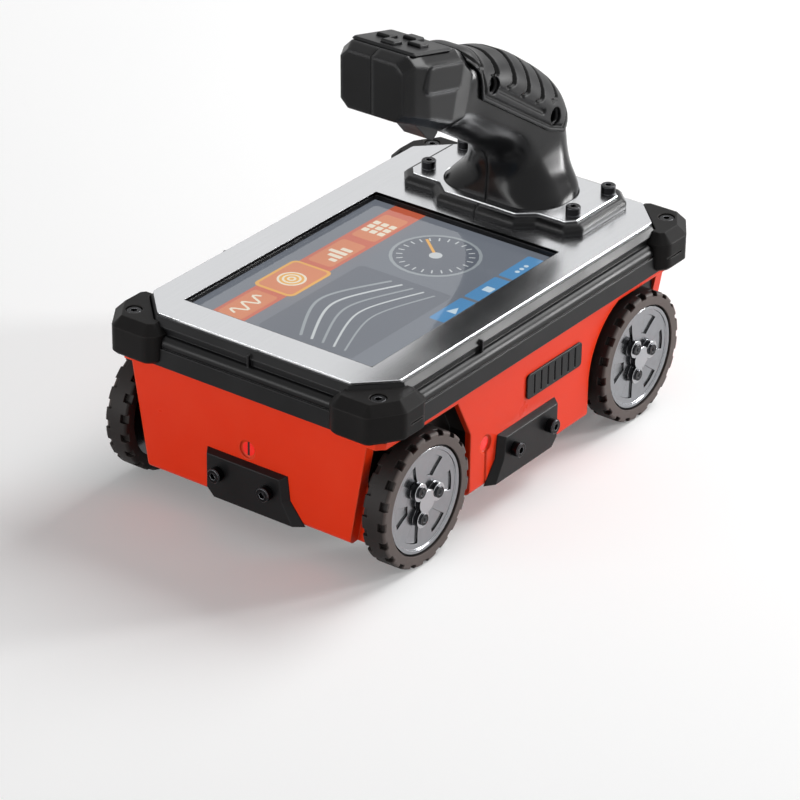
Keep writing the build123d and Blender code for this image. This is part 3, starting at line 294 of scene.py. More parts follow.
def rubbed_metal(name, body, deep, worn_and_highlit, roughness, line_mm, depth_mm, edge_mm):
    material, tree, shader, place = start_material(name, {"Metallic": 1.0})
    rounded, meet = soft_edge(tree, edge_mm)
    along = node(tree, "ShaderNodeMapping", {"Vector": place, "Scale": [1 / (v * MM) for v in line_mm]})
    lines = node(tree, "ShaderNodeTexNoise", {"Vector": along.outputs["Vector"], "Scale": 1.0, "Detail": 3.0})
    cloud = node(tree, "ShaderNodeTexNoise", {"Vector": place, "Scale": 1 / (tarnish_mm * MM), "Detail": 3.0})
    tone = node(tree, "ShaderNodeMix", {
        "Factor_Float": lines.outputs["Fac"], "A_Color": linear(body), "B_Color": linear(deep)},
        data_type="RGBA")
    # Edges lift toward the worn tone, partly as wear and partly as a painted highlight.
    edge_rub_and_highlight = node(tree, "ShaderNodeMapRange", {"Value": meet, **metal_edge_highlight_and_rub})
    skin = node(tree, "ShaderNodeMix", {
        "Factor_Float": edge_rub_and_highlight.outputs["Result"], "A_Color": tone.outputs[MIXED], "B_Color": linear(worn_and_highlit)},
        data_type="RGBA")
    gloss = node(tree, "ShaderNodeMapRange", {
        "Value": cloud.outputs["Fac"], **noise_span, "To Min": roughness + metal_gloss[0],
        "To Max": roughness + metal_gloss[1]})
    bump = node(tree, "ShaderNodeBump", {
        "Height": lines.outputs["Fac"], "Distance": depth_mm * MM, "Strength": 1.0, "Normal": rounded})
    tree.links.new(skin.outputs[MIXED], shader.inputs["Base Color"])
    tree.links.new(gloss.outputs["Result"], shader.inputs["Roughness"])
    tree.links.new(bump.outputs["Normal"], shader.inputs["Normal"])
    return material


# %% [markdown]
# A metal's lines are as long along x, y and z as its three numbers say, in millimetres. Brushed, turned
# and ground metal has one long direction. Plated and metallised metal has the same size in all three.

# %% The metals of this object
even = (3, 3, 3)
deck_aluminium = rubbed_metal("aluminium_satin_anodised", "#d6d7d9", "#cecfd1", "#dcdde0", 0.20,
                              (0.6, 60, 0.6), 0.0004, 0.6)
hub_silver = rubbed_metal("hub_silver_metallised", "#989a9d", "#8a8b8f", "#bdbec1", 0.22, even, 0.002, 0.3)
# A darker metal for painted shade on the hubs' pocket walls, boss sides and sunk ring.
hub_shadow = rubbed_metal("hub_dark_painted_shade", "#3a3a3c", "#2c2c2e", "#4a4a4c", 0.25, even, 0.002, 0.2)
black_steel = rubbed_metal("steel_black_oxide", "#2c2c2e", "#19191a", "#85868a", 0.28,
                           (0.8, 0.8, 3), 0.003, 0.4)
ground_steel = rubbed_metal("steel_ground", "#9b9b9c", "#7d7e80", "#b4b4b6", 0.3, (4, 0.5, 0.5), 0.006, 0.3)
tin_plate = rubbed_metal("tin_plated_steel", "#a9aaa6", "#8d8e8a", "#c0c1be", 0.34, even, 0.006, 0.4)
# The cap's wide, pale edge tone is a painted highlight as well as wear.
cap_silver = rubbed_metal("hub_cap_silver_metallised", "#b6b7ba", "#a8a9ad", "#d2d3d6", 0.20,
                          even, 0.002, 0.8)
print("materials with the metals", len(bpy.data.materials))

# %% [markdown]
# The three-lobed caps are metallised on their faces. Their sides are painted dark as painted shade, so
# the colour changes with how far a face is turned away from the axle.

# %% Painted shade on the sides of the hub caps
side_slope = 0.5
tree = cap_silver.node_tree
faces = node(tree, "ShaderNodeNewGeometry")
axes = node(tree, "ShaderNodeSeparateXYZ", {"Vector": faces.outputs["True Normal"]})
outward = node(tree, "ShaderNodeMath", {0: axes.outputs["X"]}, operation="ABSOLUTE")
sides = node(tree, "ShaderNodeMath", {0: outward.outputs["Value"], 1: side_slope}, operation="LESS_THAN")
# The sides get a near-black colour as painted shade.
paint_over(cap_silver, sides.outputs["Value"], "#242426")

# %% [markdown]
# The deck plate's opening for the display is painted black on its cut edge, so the sunk glass has a dark
# border all round. The paint covers what lies inside the opening's size and 0.2 mm beyond it.

# %% Black cut edge of the deck plate
opening_width, opening_length, opening_front = 106.0, 144.7, -97.9
paint_spread = 0.2
tree = deck_aluminium.node_tree
axes = node(tree, "ShaderNodeSeparateXYZ", {"Vector": found(tree, "TEX_COORD").outputs["Object"]})
in_width = node(tree, "ShaderNodeMath", {
    0: axes.outputs["X"], 1: 0.0, 2: (opening_width / 2 + paint_spread) * MM}, operation="COMPARE")
in_length = node(tree, "ShaderNodeMath", {
    0: axes.outputs["Y"], 1: (opening_front + opening_length / 2) * MM,
    2: (opening_length / 2 + paint_spread) * MM}, operation="COMPARE")
in_cut = node(tree, "ShaderNodeMath", {
    0: in_width.outputs["Value"], 1: in_length.outputs["Value"]}, operation="MULTIPLY")
paint_over(deck_aluminium, in_cut.outputs["Value"], "#0a0a0a")

# %% [markdown]
# Inside are circuit boards, a wrapped battery pack and the marking lasers. They are seen when the part
# is taken apart, so they get the colours of solder mask with darker tracks, and of shrink film.

# %% Inner parts
track_length, track_width, track_gap = 11, 3, 0.5
board_mask, tree, shader, place = start_material("circuit_board_solder_mask", {"Roughness": 0.35, "IOR": 1.5})
tracks = node(tree, "ShaderNodeTexBrick", {
    "Vector": place, "Scale": 1.0, "Color1": linear("#0f5a37"), "Color2": linear("#146642"),
    "Mortar": linear("#0a3f28"), "Mortar Size": track_gap * MM, "Brick Width": track_length * MM,
    "Row Height": track_width * MM})
tree.links.new(tracks.outputs["Color"], shader.inputs["Base Color"])
film_wrap = moulded("battery_shrink_film", "#2c2d33", "#6b6d75", 0.3, 5.0, 0.15, 1.5, {"IOR": 1.5})
print("inner finishes", board_mask.name, film_wrap.name)

# %% [markdown]
# The marking lasers leave through small red acrylic windows. The acrylic has a faint painted glow, red
# light of its own outside the slit. The end windows have an upright slit behind them, the strip within
# 0.8 mm of the middle plane.

# %% Laser windows
slit_dark, slit_end, glow_level = 0.4, 0.8, 0.35
lens_acrylic, tree, shader, place = start_material(
    "acrylic_red_tinted", {"Roughness": 0.08, "IOR": 1.49, "Emission Color": linear("#ff1a0a")})
axes = node(tree, "ShaderNodeSeparateXYZ", {"Vector": place})
gap = node(tree, "ShaderNodeMath", {0: axes.outputs["X"]}, operation="ABSOLUTE")
open_red = node(tree, "ShaderNodeMapRange", {
    "Value": gap.outputs["Value"], "From Min": slit_dark * MM, "From Max": slit_end * MM})
red = node(tree, "ShaderNodeMix", {
    "Factor_Float": open_red.outputs["Result"], "A_Color": linear("#1c0302"), "B_Color": linear("#c4140c")},
    data_type="RGBA")
# A painted glow: the red acrylic gives out a faint light of its own.
glow = node(tree, "ShaderNodeMath", {0: open_red.outputs["Result"], 1: glow_level}, operation="MULTIPLY")
tree.links.new(red.outputs[MIXED], shader.inputs["Base Color"])
tree.links.new(glow.outputs["Value"], shader.inputs["Emission Strength"])
print("laser windows", lens_acrylic.name)

# %% [markdown]
# The display glass is thin and hard coated. Nearly all light goes straight through it, and a share that
# grows toward grazing angles is mirrored, so a clear shader and a glossy one are mixed by Fresnel.

# %% Display glass
white = (1, 1, 1, 1)
cover_glass, tree = blank_material("cover_glass_hard_coated")
clear = node(tree, "ShaderNodeBsdfTransparent", {"Color": linear("#f2f4f4")})
mirror = node(tree, "ShaderNodeBsdfGlossy", {"Color": white, "Roughness": 0.05})
share = node(tree, "ShaderNodeFresnel", {"IOR": 1.5})
both = node(tree, "ShaderNodeMixShader", {
    0: share.outputs["Fac"], 1: clear.outputs["BSDF"], 2: mirror.outputs["BSDF"]})
node(tree, "ShaderNodeOutputMaterial", {"Surface": both.outputs["Shader"]})
print("glass", cover_glass.name)

# %% [markdown]
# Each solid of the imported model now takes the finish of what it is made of. The record already gives each
# node a material slot, so one table from slot to finish covers nearly all of them, and the handle and
# the hub caps follow by name.

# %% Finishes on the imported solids
finish_of_slot = {
    "shell_red": tub_abs, "frame_black": rail_nylon, "fascia_silver": deck_aluminium,
    "window_glass": cover_glass, "display_dark": rail_nylon, "bumper_rubber": corner_rubber,
    "tyre_rubber": tyre_rubber, "hub_grey": hub_silver, "black_steel": black_steel, "steel": ground_steel,
    "board_green": board_mask, "shield_tin": tin_plate, "battery_grey": film_wrap, "key_black": key_silicone,
    "lens_red": lens_acrylic, "skid_grey": skid_polymer, "gasket_black": gasket_foam,
}
slot_of_node = {s["node"]: s["material_slot"] for s in frame["record"]["subparts"]}
for name, solid in cad_nodes.items():
    finish = finish_of_slot[slot_of_node[name]]
    if name in ("handle_left", "handle_right"):
        finish = handle_nylon
    if name.endswith("_hub_caps"):
        finish = cap_silver
    for i in range(max(1, len(solid.material_slots))):
        if not solid.material_slots:
            solid.data.materials.append(finish)
        solid.material_slots[i].material = finish
print("finishes on", len(cad_nodes), "solids")

# %% [markdown]
# The wheel hubs are dished and have six pockets that widen toward the rim. One sixth of the hub is
# modelled as a grid of radius against angle, with the pocket pushed in, and Geometry Nodes turn copies of
# it round the axle. The same tree serves for anything that repeats round an axis.

# %% A tree that repeats a piece round an axis
ring_weld = 0.002
ring_tree = bpy.data.node_groups.new("repeat_round_axis", "GeometryNodeTree")
ring_inputs = {}
for name, kind in (("Geometry", "Geometry"), ("Count", "Int"), ("Axis", "Vector"), ("Finish", "Material")):
    socket = ring_tree.interface.new_socket(name, in_out="INPUT", socket_type="NodeSocket" + kind)
    ring_inputs[name] = socket.identifier
ring_tree.interface.new_socket("Geometry", in_out="OUTPUT", socket_type="NodeSocketGeometry")
given = node(ring_tree, "NodeGroupInput").outputs
index = node(ring_tree, "GeometryNodeInputIndex").outputs["Index"]
step = node(ring_tree, "ShaderNodeMath", {0: math.tau, 1: given["Count"]}, operation="DIVIDE")
angle = node(ring_tree, "ShaderNodeMath", {0: step.outputs["Value"], 1: index}, operation="MULTIPLY")
turn = node(ring_tree, "ShaderNodeVectorMath", {
    0: given["Axis"], "Scale": angle.outputs["Value"]}, operation="SCALE")
spots = node(ring_tree, "GeometryNodePoints", {"Count": given["Count"]})
euler = node(ring_tree, "FunctionNodeEulerToRotation", {"Euler": turn.outputs["Vector"]})
copies = node(ring_tree, "GeometryNodeInstanceOnPoints", {
    "Points": spots.outputs["Points"], "Instance": given["Geometry"],
    "Rotation": euler.outputs["Rotation"]})
real = node(ring_tree, "GeometryNodeRealizeInstances", {"Geometry": copies.outputs["Instances"]})
joined = node(ring_tree, "GeometryNodeMergeByDistance", {
    "Geometry": real.outputs["Geometry"], "Distance": ring_weld * MM})
finished = node(ring_tree, "GeometryNodeSetMaterial", {
    "Geometry": joined.outputs["Geometry"], "Material": given["Finish"]})
node(ring_tree, "NodeGroupOutput", {"Geometry": finished.outputs["Geometry"]})
print("nodes in the ring tree", len(ring_tree.nodes))

# %% [markdown]
# Five small helpers serve the pieces that follow. One puts an object in the scene, one takes what an
# object's modifiers give as a plain mesh, one turns mesh code into a mesh, one repeats a mesh with the
# tree above, and one hangs a finished mesh on the body that it moves with.

# %% Helpers for pieces
def in_scene(name, data):
    made = bpy.data.objects.new(name, data)
    bpy.context.scene.collection.objects.link(made)
    return made


def plain_mesh(made):
    """What an object's modifiers give, as a mesh of its own. The object is removed."""
    solid = bpy.data.meshes.new_from_object(made.evaluated_get(bpy.context.evaluated_depsgraph_get()))
    bpy.data.objects.remove(made)
    return solid


def as_mesh(name, shape):
    """A bmesh as a mesh. The bmesh is freed."""
    mesh = bpy.data.meshes.new(name)
    shape.to_mesh(mesh)
    shape.free()
    return mesh


def repeated(mesh, count, axis, finish):
    """The mesh turned count times round an axis through the origin, as one plain mesh."""
    holder = in_scene("holder", mesh)
    change = holder.modifiers.new("repeat", "NODES")
    change.node_group = ring_tree
    change[ring_inputs["Count"]] = count
    change[ring_inputs["Axis"]] = axis
    change[ring_inputs["Finish"]] = finish
    return plain_mesh(holder)


def piece(name, mesh, body, stands_for=()):
    """A finished mesh as a piece that rides on a body."""
    made = in_scene(name, mesh)
    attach(made, body)
    if stands_for:
        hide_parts(*stands_for)
    return made


# %% [markdown]
# The hub's section runs from the blind bore, over the boss and the back, round the rim and in across the
# face to the middle. Sizes are in millimetres from the imported hub: x is measured along the axle and r
# from its centre line. The outermost ring is sunk and takes the darker metal as painted shade, which
# leaves a dark line against the tyre, and the face dishes in toward the middle. Columns of the grid lean
# with the two sides of a pocket, which gives a straight edge to its walls.

# %% One sixth of a hub
hub_back = [(0, 76.6), (4.02, 76.6), (4.02, 65.5), (8.0, 65.5), (8.0, 68.8), (25.7, 68.8), (26.2, 69.3)]
hub_rim = [(26.2, 77.4), (25.5, 77.4), (25.45, 78.7), (25.2, 79.0), (24.0, 79.0), (23.7, 78.9)]
hub_face = [(23.4, 78.15), (22.4, 78.0), (21.1, 77.9), (20.85, 77.88), (20.6, 77.86), (18.4, 77.7),
            (16.2, 77.55), (14.0, 77.42), (11.9, 77.3), (11.6, 77.28), (11.3, 77.27), (10.4, 77.24),
            (6.0, 77.2), (0, 77.2)]
hub_section = hub_back + hub_rim + hub_face
# Points of the section beyond this x are on the outside of the hub.
face_start = 77
pocket_radii = (11.45, 20.75)
pocket_sink = 0.85
# Each column is an angle at the pocket's inner radius, an angle at its outer radius, and whether it lies
# inside the pocket.
hub_columns = [(-20, -21, 0), (-14, -16, 0), (-7.6, -11.4, 0), (-7.2, -11.0, 1), (-2, -4, 1), (4, 3.5, 1),
               (10, 11, 1), (14.6, 18.0, 1), (15.0, 18.4, 0), (21, 23, 0), (30, 30.5, 0), (40, 39, 0)]


def hub_row(shape, start, end, inside):
    """The section's points on one column of the grid."""
    low, high = pocket_radii
    row = []
    for r, x in hub_section:
        share = max(0.0, min(1.0, (r - low) / (high - low)))
        a = math.radians(start + (end - start) * share)
        sunk = pocket_sink if inside and low < r < high and x > face_start else 0.0
        row.append(shape.verts.new(((x - sunk) * MM, r * math.cos(a) * MM, r * math.sin(a) * MM)))
    return row


def hub_wedge():
    shape = bmesh.new()
    rows = [hub_row(shape, *column) for column in hub_columns]
    for left, right in zip(rows, rows[1:]):
        for i in range(len(hub_section) - 1):
            corners = [left[i], left[i + 1], right[i + 1], right[i]]
            if hub_section[i][0] == 0:
                corners = corners[:3]
            if hub_section[i + 1][0] == 0:
                corners = [left[i], left[i + 1], right[i]]
            shape.faces.new(corners)
    return as_mesh("hub_wedge", shape)


wedge = hub_wedge()
print("faces in one sixth of a hub", len(wedge.polygons))

# %% [markdown]
# The three-lobed cap stands on a boss of its own outline, which rises from the dished face. It is one
# solid outline drawn round four circles: the cap's middle and its three lobes.

# %% The boss under a cap
boss_low, boss_high = 77.0, 78.38
boss_radius = 5.4
lobe_turns = (8, 128, 248)
lobe_centre, lobe_radius = 8.4, 4.1


def boss_outline(steps=120):
    """Points round the union of the cap's middle and its three lobes, in millimetres."""
    circles = [((0, 0), boss_radius)]
    for turn in lobe_turns:
        a = math.radians(turn)
        circles.append(((lobe_centre * math.cos(a), lobe_centre * math.sin(a)), lobe_radius))
    points = []
    for i in range(steps):
        ray = Vector((math.cos(math.tau * i / steps), math.sin(math.tau * i / steps)))
        reach = 0.0
        for centre, radius in circles:
            along = Vector(centre).dot(ray)
            off = Vector(centre).length_squared - along ** 2
            if off < radius ** 2 and along >= 0:
                reach = max(reach, along + (radius ** 2 - off) ** 0.5)
        points.append(ray * reach)
    return points


def add_boss(shape):
    rings = []
    for x in (boss_low, boss_high):
        rings.append([shape.verts.new((x * MM, p.x * MM, p.y * MM)) for p in boss_outline()])
    count = len(rings[0])
    for i in range(count):
        after = (i + 1) % count
        shape.faces.new([rings[0][i], rings[0][after], rings[1][after], rings[1][i]])
    shape.faces.new(rings[1])
    shape.faces.new(rings[0][::-1])


print("points round a boss", len(boss_outline()))

# %% [markdown]
# A hub is the ring of six wedges with a boss on it, moved out to its wheel. The boss's sides, the pockets'
# steep walls and the sunk ring take the darker metal as painted shade. The walls are found by their slope
# and the ring by its radius. A left hub is the mirror image of a right one, so its faces are turned round
# again.

# %% The four hubs
steep_slope = 0.75
outside_start = 75
wall_radius, sunk_radius = 21.0, 25.3
sharp_degrees = 28
axle_of = {j["name"]: j["pos_m"] for j in frame["joints"] if j["name"].endswith("_wheels_roll")}
for end in ("front", "rear"):
    for side, sign in (("left", -1), ("right", 1)):
        hub = repeated(wedge, 6, (1, 0, 0), hub_silver)
        shape = bmesh.new()
        shape.from_mesh(hub)
        add_boss(shape)
        bmesh.ops.recalc_face_normals(shape, faces=shape.faces)
        for face in shape.faces:
            middle = face.calc_center_median() / MM
            r = math.hypot(middle.y, middle.z)
            steep = abs(face.normal.x) < steep_slope and r < wall_radius
            # Steep pocket walls and the sunk ring take the painted-shade metal.
            face.material_index = 1 if middle.x > outside_start and (steep or r > sunk_radius) else 0
        shape.transform(Matrix.Translation(axle_of[f"{end}_wheels_roll"]) @ Matrix.Diagonal((sign, 1, 1, 1)))
        if sign < 0:
            bmesh.ops.reverse_faces(shape, faces=shape.faces)
        hub.materials.clear()
        hub.materials.append(hub_silver)
        hub.materials.append(hub_shadow)
        shape.to_mesh(hub)
        shape.free()
        hub.shade_smooth()
        hub.set_sharp_from_angle(angle=math.radians(sharp_degrees))
        piece(f"{end}_{side}_hub_six_pockets", hub, f"{end}_wheels", [f"{end}_{side}_hub"])
print("hub faces each", len(hub.polygons))

# %% [markdown]
# The grip's rubber pad has raised ribs across it, cut apart by six arc grooves that hook forward at their
# lower ends, a long channel between its two screws, and a groove that follows its border. A groove is
# known by where its middle runs, so the depth at any point follows from its distance to that line.

# %% Where the pad's grooves run
along_grip = Vector((0.0, 0.853, -0.522))
across_grip = Vector((0.0, 0.522, 0.853))
pad_edge = [(12, 204), (19, 193.5), (30, 180.5), (32, 166), (86, 131.5), (97, 127.5), (106, 134), (125, 150)]
rib_ends = [(-65.5, 170.6), (-52.0, 170.6), (-37.9, 169.0), (-24.0, 168.0), (-10.2, 168.0), (3.6, 171.4)]
rib_line = [(0.0, -3.6), (0.7, -1.2), (2.2, 0.0), (5.0, -0.4), (9.0, -1.8), (14.0, -3.0), (30.0, -3.6)]
channel_ends = ((45.5, 166.5), (81, 143.2))
border_inset = 2.6
# A cut is the half width and the depth of a groove.
rib_cut = (1.7, 1.6)
border_cut = (0.9, 1.1)
channel_cut = (1.5, 1.1)


def rib_shift(height):
    """How far a groove lies forward of its bulge, by height above its lower end."""
    for (h0, s0), (h1, s1) in zip(rib_line, rib_line[1:]):
        if height <= h1:
            return s0 + (s1 - s0) * max(0.0, height - h0) / (h1 - h0)
    return rib_line[-1][1]


def segment_gap(point, start, end):
    run = Vector(end) - Vector(start)
    share = max(0.0, min(1.0, (Vector(point) - Vector(start)).dot(run) / run.length_squared))
    return (Vector(point) - Vector(start) - run * share).length


def groove(gap, half_width, depth):
    """Depth of a round-bottomed groove at a distance from its middle."""
    return depth * max(0.0, 1 - (gap / half_width) ** 2) ** 0.5


def pad_pressing(point):
    """How deep the pad is pressed at a point in millimetres."""
    t, h = point.dot(along_grip), point.dot(across_grip)
    side = (point.y, point.z)
    deepest = 0.0
    for end_t, end_h in rib_ends:
        above = h - end_h
        off = t - end_t - rib_shift(max(0.0, above))
        gap = abs(off) if above > 0 else math.hypot(off, above)
        deepest = max(deepest, groove(gap, *rib_cut))
    border = min(segment_gap(side, a, b) for a, b in zip(pad_edge, pad_edge[1:]))
    deepest = max(deepest, groove(abs(border - border_inset), *border_cut))
    return max(deepest, groove(segment_gap(side, *channel_ends), *channel_cut))


print("grooves across the pad", len(rib_ends))

# %% [markdown]
# The imported pad has the right outline and thickness, but too few points to carry the grooves. A copy of it
# is merged, remeshed fine and laid back on the imported surface. Then its outer skin is pressed in along the
# normals where a groove runs, and the depth is kept on the mesh for the painted shade in the grooves.

# %% The pad
pad_weld, pad_voxel = 0.001, 0.5
grip_middle = 155.0
shape = bmesh.new()
shape.from_mesh(cad_nodes["grip_pad"].data)
bmesh.ops.remove_doubles(shape, verts=shape.verts, dist=pad_weld * MM)
fine = in_scene("fine_pad", as_mesh("pad_copy", shape))
remesh = fine.modifiers.new("fine", "REMESH")
remesh.mode = "VOXEL"
remesh.voxel_size = pad_voxel * MM
wrap = fine.modifiers.new("lay", "SHRINKWRAP")
wrap.target = cad_nodes["grip_pad"]
wrap.wrap_method = "NEAREST_SURFACEPOINT"
pad = plain_mesh(fine)
pad.materials.clear()
pad.materials.append(pad_rubber)
depths = []
pressed = []
for v in pad.vertices:
    p = v.co / MM
    outward = Vector((p.x, 0, 0)) + across_grip * (p.dot(across_grip) - grip_middle)
    depths.append(pad_pressing(p) if v.normal.dot(outward) > 0 else 0.0)
    pressed.append(v.co - v.normal * depths[-1] * MM)
for v, co in zip(pad.vertices, pressed):
    v.co = co
pad.attributes.new("pressed_in", "FLOAT", "POINT").data.foreach_set("value", depths)
pad.shade_smooth()
piece("grip_pad_ribbed", pad, "chassis", ["grip_pad"])
print("pad faces", len(pad.polygons), "deepest groove in mm", round(max(depths), 2))

# %% [markdown]
# A coil spring inside the head pushes the trigger back, and on the real grip pulling the trigger lifts its
# lower end by about a fifth of its length. The imported spring is a plain tube of its outer size, so here it
# is wound from wire, with the turns closer at both ends.

# %% Trigger spring
spring_y, spring_low, spring_high = 15.5, 166.3, 178.5
coil_radius, wire_radius = 1.85, 0.35
turns, steps, sides = 8, 24, 8
end_crowding = 0.09
wire = bmesh.new()
rings = []
for i in range(turns * steps + 1):
    share = i / (turns * steps)
    lift = share - end_crowding * math.sin(math.tau * share)
    height = spring_low + wire_radius + (spring_high - spring_low - 2 * wire_radius) * lift
    a = math.tau * i / steps
    ring = []
    for k in range(sides):
        b = math.tau * k / sides
        r = coil_radius + wire_radius * math.cos(b)
        ring.append(wire.verts.new((r * math.cos(a) * MM, (spring_y + r * math.sin(a)) * MM,
                                    (height + wire_radius * math.sin(b)) * MM)))
    rings.append(ring)
for low, high in zip(rings, rings[1:]):
    for k in range(sides):
        wire.faces.new([low[k], high[k], high[(k + 1) % sides], low[(k + 1) % sides]])
wire.faces.new(rings[0])
wire.faces.new(rings[-1][::-1])
bmesh.ops.recalc_face_normals(wire, faces=wire.faces)
coil = as_mesh("coil", wire)
coil.materials.append(ground_steel)
coil.shade_smooth()
spring = piece("trigger_spring_wound", coil, "chassis", ["trigger_spring"])
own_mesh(spring)
print("spring faces", len(coil.polygons))

# %% [markdown]
# The display shows a plain made-up page: a warm band of mode tiles along the far edge, a scan picture
# of nested echoes, a round level gauge and cool soft keys along the near edge. It is read from the
# right-hand side, so u runs toward the rear and v toward the left. Each mark is a thin slab, and the
# layers lie a hair above each other, so that the upper one shows.

# %% Screen paint
pixel_fade = 0.8
pixel_fade_mm = 60
screen_hues = {"ground": "#797e88", "panel": "#686d78", "band": "#d5674a", "tile": "#e2875a",
               "chosen": "#f4b24c", "mark": "#f8ecd6", "echo": "#a3a9ae", "pale": "#d2d6d8",
               "cool": "#5a98cc", "cool_mark": "#d8ebf8"}


def screen_colour(name, hex_colour):
    """A lit pixel colour: a dark glossless ground that gives out its own light."""
    material, tree, shader, place = start_material(name, {"Roughness": 0.6, "Base Color": linear("#0a0a0b"),
                                                          "Emission Strength": 1.0})
    lit = linear(hex_colour)
    dimmer = [pixel_fade * v for v in lit[:3]] + [1.0]
    across = node(tree, "ShaderNodeTexNoise", {
        "Vector": place, "Scale": 1 / (pixel_fade_mm * MM), "Detail": 1.0})
    fade = node(tree, "ShaderNodeMix", {
        "Factor_Float": across.outputs["Fac"], "A_Color": lit, "B_Color": dimmer}, data_type="RGBA")
    tree.links.new(fade.outputs[MIXED], shader.inputs["Emission Color"])
    return material


screen_paints = {hue: screen_colour("lcd_" + hue, value) for hue, value in screen_hues.items()}
screen_order = list(screen_paints)
print("screen paints", len(screen_order))

# %% [markdown]
# A mark is an outline of (u, v) points in millimetres with a colour and a layer. Three helpers draw the
# outlines: a tile with rounded corners, a disc, and a ribbon along a line of points.

# %% Marks on the page
screen_low, layer_step = 88.05, 0.06
screen_marks = []


def paint(colour, outline, layer):
    screen_marks.append((colour, outline, screen_low + layer_step * layer))


def tile_outline(u, v, width, height, round_mm, steps=5):
    """A rectangle with rounded corners, from its lower left corner."""
    near, far = u + round_mm, u + width - round_mm
    low, high = v + round_mm, v + height - round_mm
    points = []
    for cu, cv, start in ((far, low, -90), (far, high, 0), (near, high, 90), (near, low, 180)):
        for i in range(steps + 1):
            a = math.radians(start + 90 * i / steps)
            points.append((cu + round_mm * math.cos(a), cv + round_mm * math.sin(a)))
    return points


def disc(u, v, radius, steps=28):
    angles = [math.tau * i / steps for i in range(steps)]
    return [(u + radius * math.cos(a), v + radius * math.sin(a)) for a in angles]


def ribbon(points, width):
    """A polyline with a width, as a list of four-cornered marks."""
    marks = []
    for a, b in zip(points, points[1:]):
        run = (Vector(b) - Vector(a)).normalized() * width / 2
        off = Vector((-run.y, run.x))
        start = [tuple(Vector(a) - run + s * off) for s in (-1, 1)]
        end = [tuple(Vector(b) + run + s * off) for s in (1, -1)]
        marks.append(start + end)
    return marks


# %% The ground and the mode tiles
screen_u, screen_v = opening_length, opening_width
bleed = 2
band_low, band_high = 78, 96
tile_start, tile_step = 8, 33.5
chosen_tile = 1


def strip(low, high):
    """A band across the whole page, which runs on under the edges of the opening."""
    return [(-bleed, low), (screen_u + bleed, low), (screen_u + bleed, high), (-bleed, high)]


paint("ground", strip(-bleed, screen_v + bleed), 0)
paint("band", strip(band_low, band_high), 1)
for i in range(4):
    left = tile_start + tile_step * i
    if i == chosen_tile:
        paint("chosen", tile_outline(left - 2, 75.5, 32, 23, 3.4), 2)
        paint("tile", tile_outline(left - 0.4, 77.1, 28.8, 19.8, 2.4), 3)
    else:
        paint("tile", tile_outline(left, 80, 28, 14, 2), 2)
print("marks with the tiles", len(screen_marks))

# %% Signs on the mode tiles
sign_v, sign_layer = 87, 4
wave_start, wave_step, wave_height, wave_turn = 12, 0.8, 3.4, 0.62
target_u, target_rim = 54.5, 1.1
wave = [(wave_start + i * wave_step, sign_v + wave_height * math.sin(i * wave_turn)) for i in range(26)]
for mark in ribbon(wave, 1.2):
    paint("mark", mark, sign_layer)
for k, radius in enumerate((7.0, 4.6, 2.2)):
    paint("mark", disc(target_u, sign_v, radius), sign_layer + 0.5 * k)
    paint("chosen", disc(target_u, sign_v, radius - target_rim), sign_layer + 0.25 + 0.5 * k)
for i, tall in enumerate((4, 7.5, 10, 6)):
    paint("mark", tile_outline(80.5 + 4 * i, 82, 2.6, tall, 0.5), sign_layer)
for i in range(3):
    for j in range(3):
        paint("mark", tile_outline(115.5 + 4.6 * i, 80.7 + 4.6 * j, 3.4, 3.4, 0.6), sign_layer)
print("marks with the signs", len(screen_marks))

# %% [markdown]
# A bar buried in concrete sends back an echo in the form of a hyperbola, because the wheels carry the
# antenna toward it and away again. Five of these lie under each other, each flatter and finer than the
# one above. The gauge beside them is a rimmed disc with a needle.

# %% Echoes and gauge
echo_middle, echo_step, echo_steps = 47, 1.6, 21
echo_top, echo_gap, echo_bend = 72, 8, 150
echo_slope, echo_flatter = 0.62, 0.05
echo_width, echo_finer = 1.4, 0.12
gauge_u, gauge_v = 115, 49
paint("panel", tile_outline(8, 18, 78, 53, 3), 1)
for k in range(5):
    echo = []
    for s in range(-echo_steps, echo_steps + 1):
        fall = (echo_slope - echo_flatter * k) * ((echo_step * s) ** 2 + echo_bend) ** 0.5
        echo.append((echo_middle + echo_step * s, echo_top - echo_gap * k - fall))
    for mark in ribbon(echo, echo_width - echo_finer * k):
        paint("pale" if k in (1, 3) else "echo", mark, 2)
paint("echo", disc(gauge_u, gauge_v, 22), 1)
paint("panel", disc(gauge_u, gauge_v, 20.4), 1.5)
for mark in ribbon([(gauge_u, gauge_v), (126, 62)], 1.4):
    paint("chosen", mark, 3)
paint("pale", disc(gauge_u, gauge_v, 3.2), 3.5)
print("marks with echoes and gauge", len(screen_marks))

# %% Soft keys
soft_middle = 9.25
for i in range(3):
    paint("cool", tile_outline(62 + 27.2 * i, 4, 25, 10.5, 1.2), 1)
paint("cool_mark", [(72, 6.6), (78, soft_middle), (72, 11.9)], 2)
paint("cool_mark", tile_outline(99.2, 6.9, 4.8, 4.8, 0.5), 2)
for i in range(3):
    paint("cool_mark", disc(124.6 + 3.6 * i, soft_middle, 1.2, 12), 2)
print("marks on the page", len(screen_marks))

# %% [markdown]
# The gauge's scale is a ring of fine strokes, which is one stroke repeated round its centre by the same
# tree as the hubs. All marks then become one mesh on the display, under the glass, and a Solidify modifier
# gives them their small thickness.

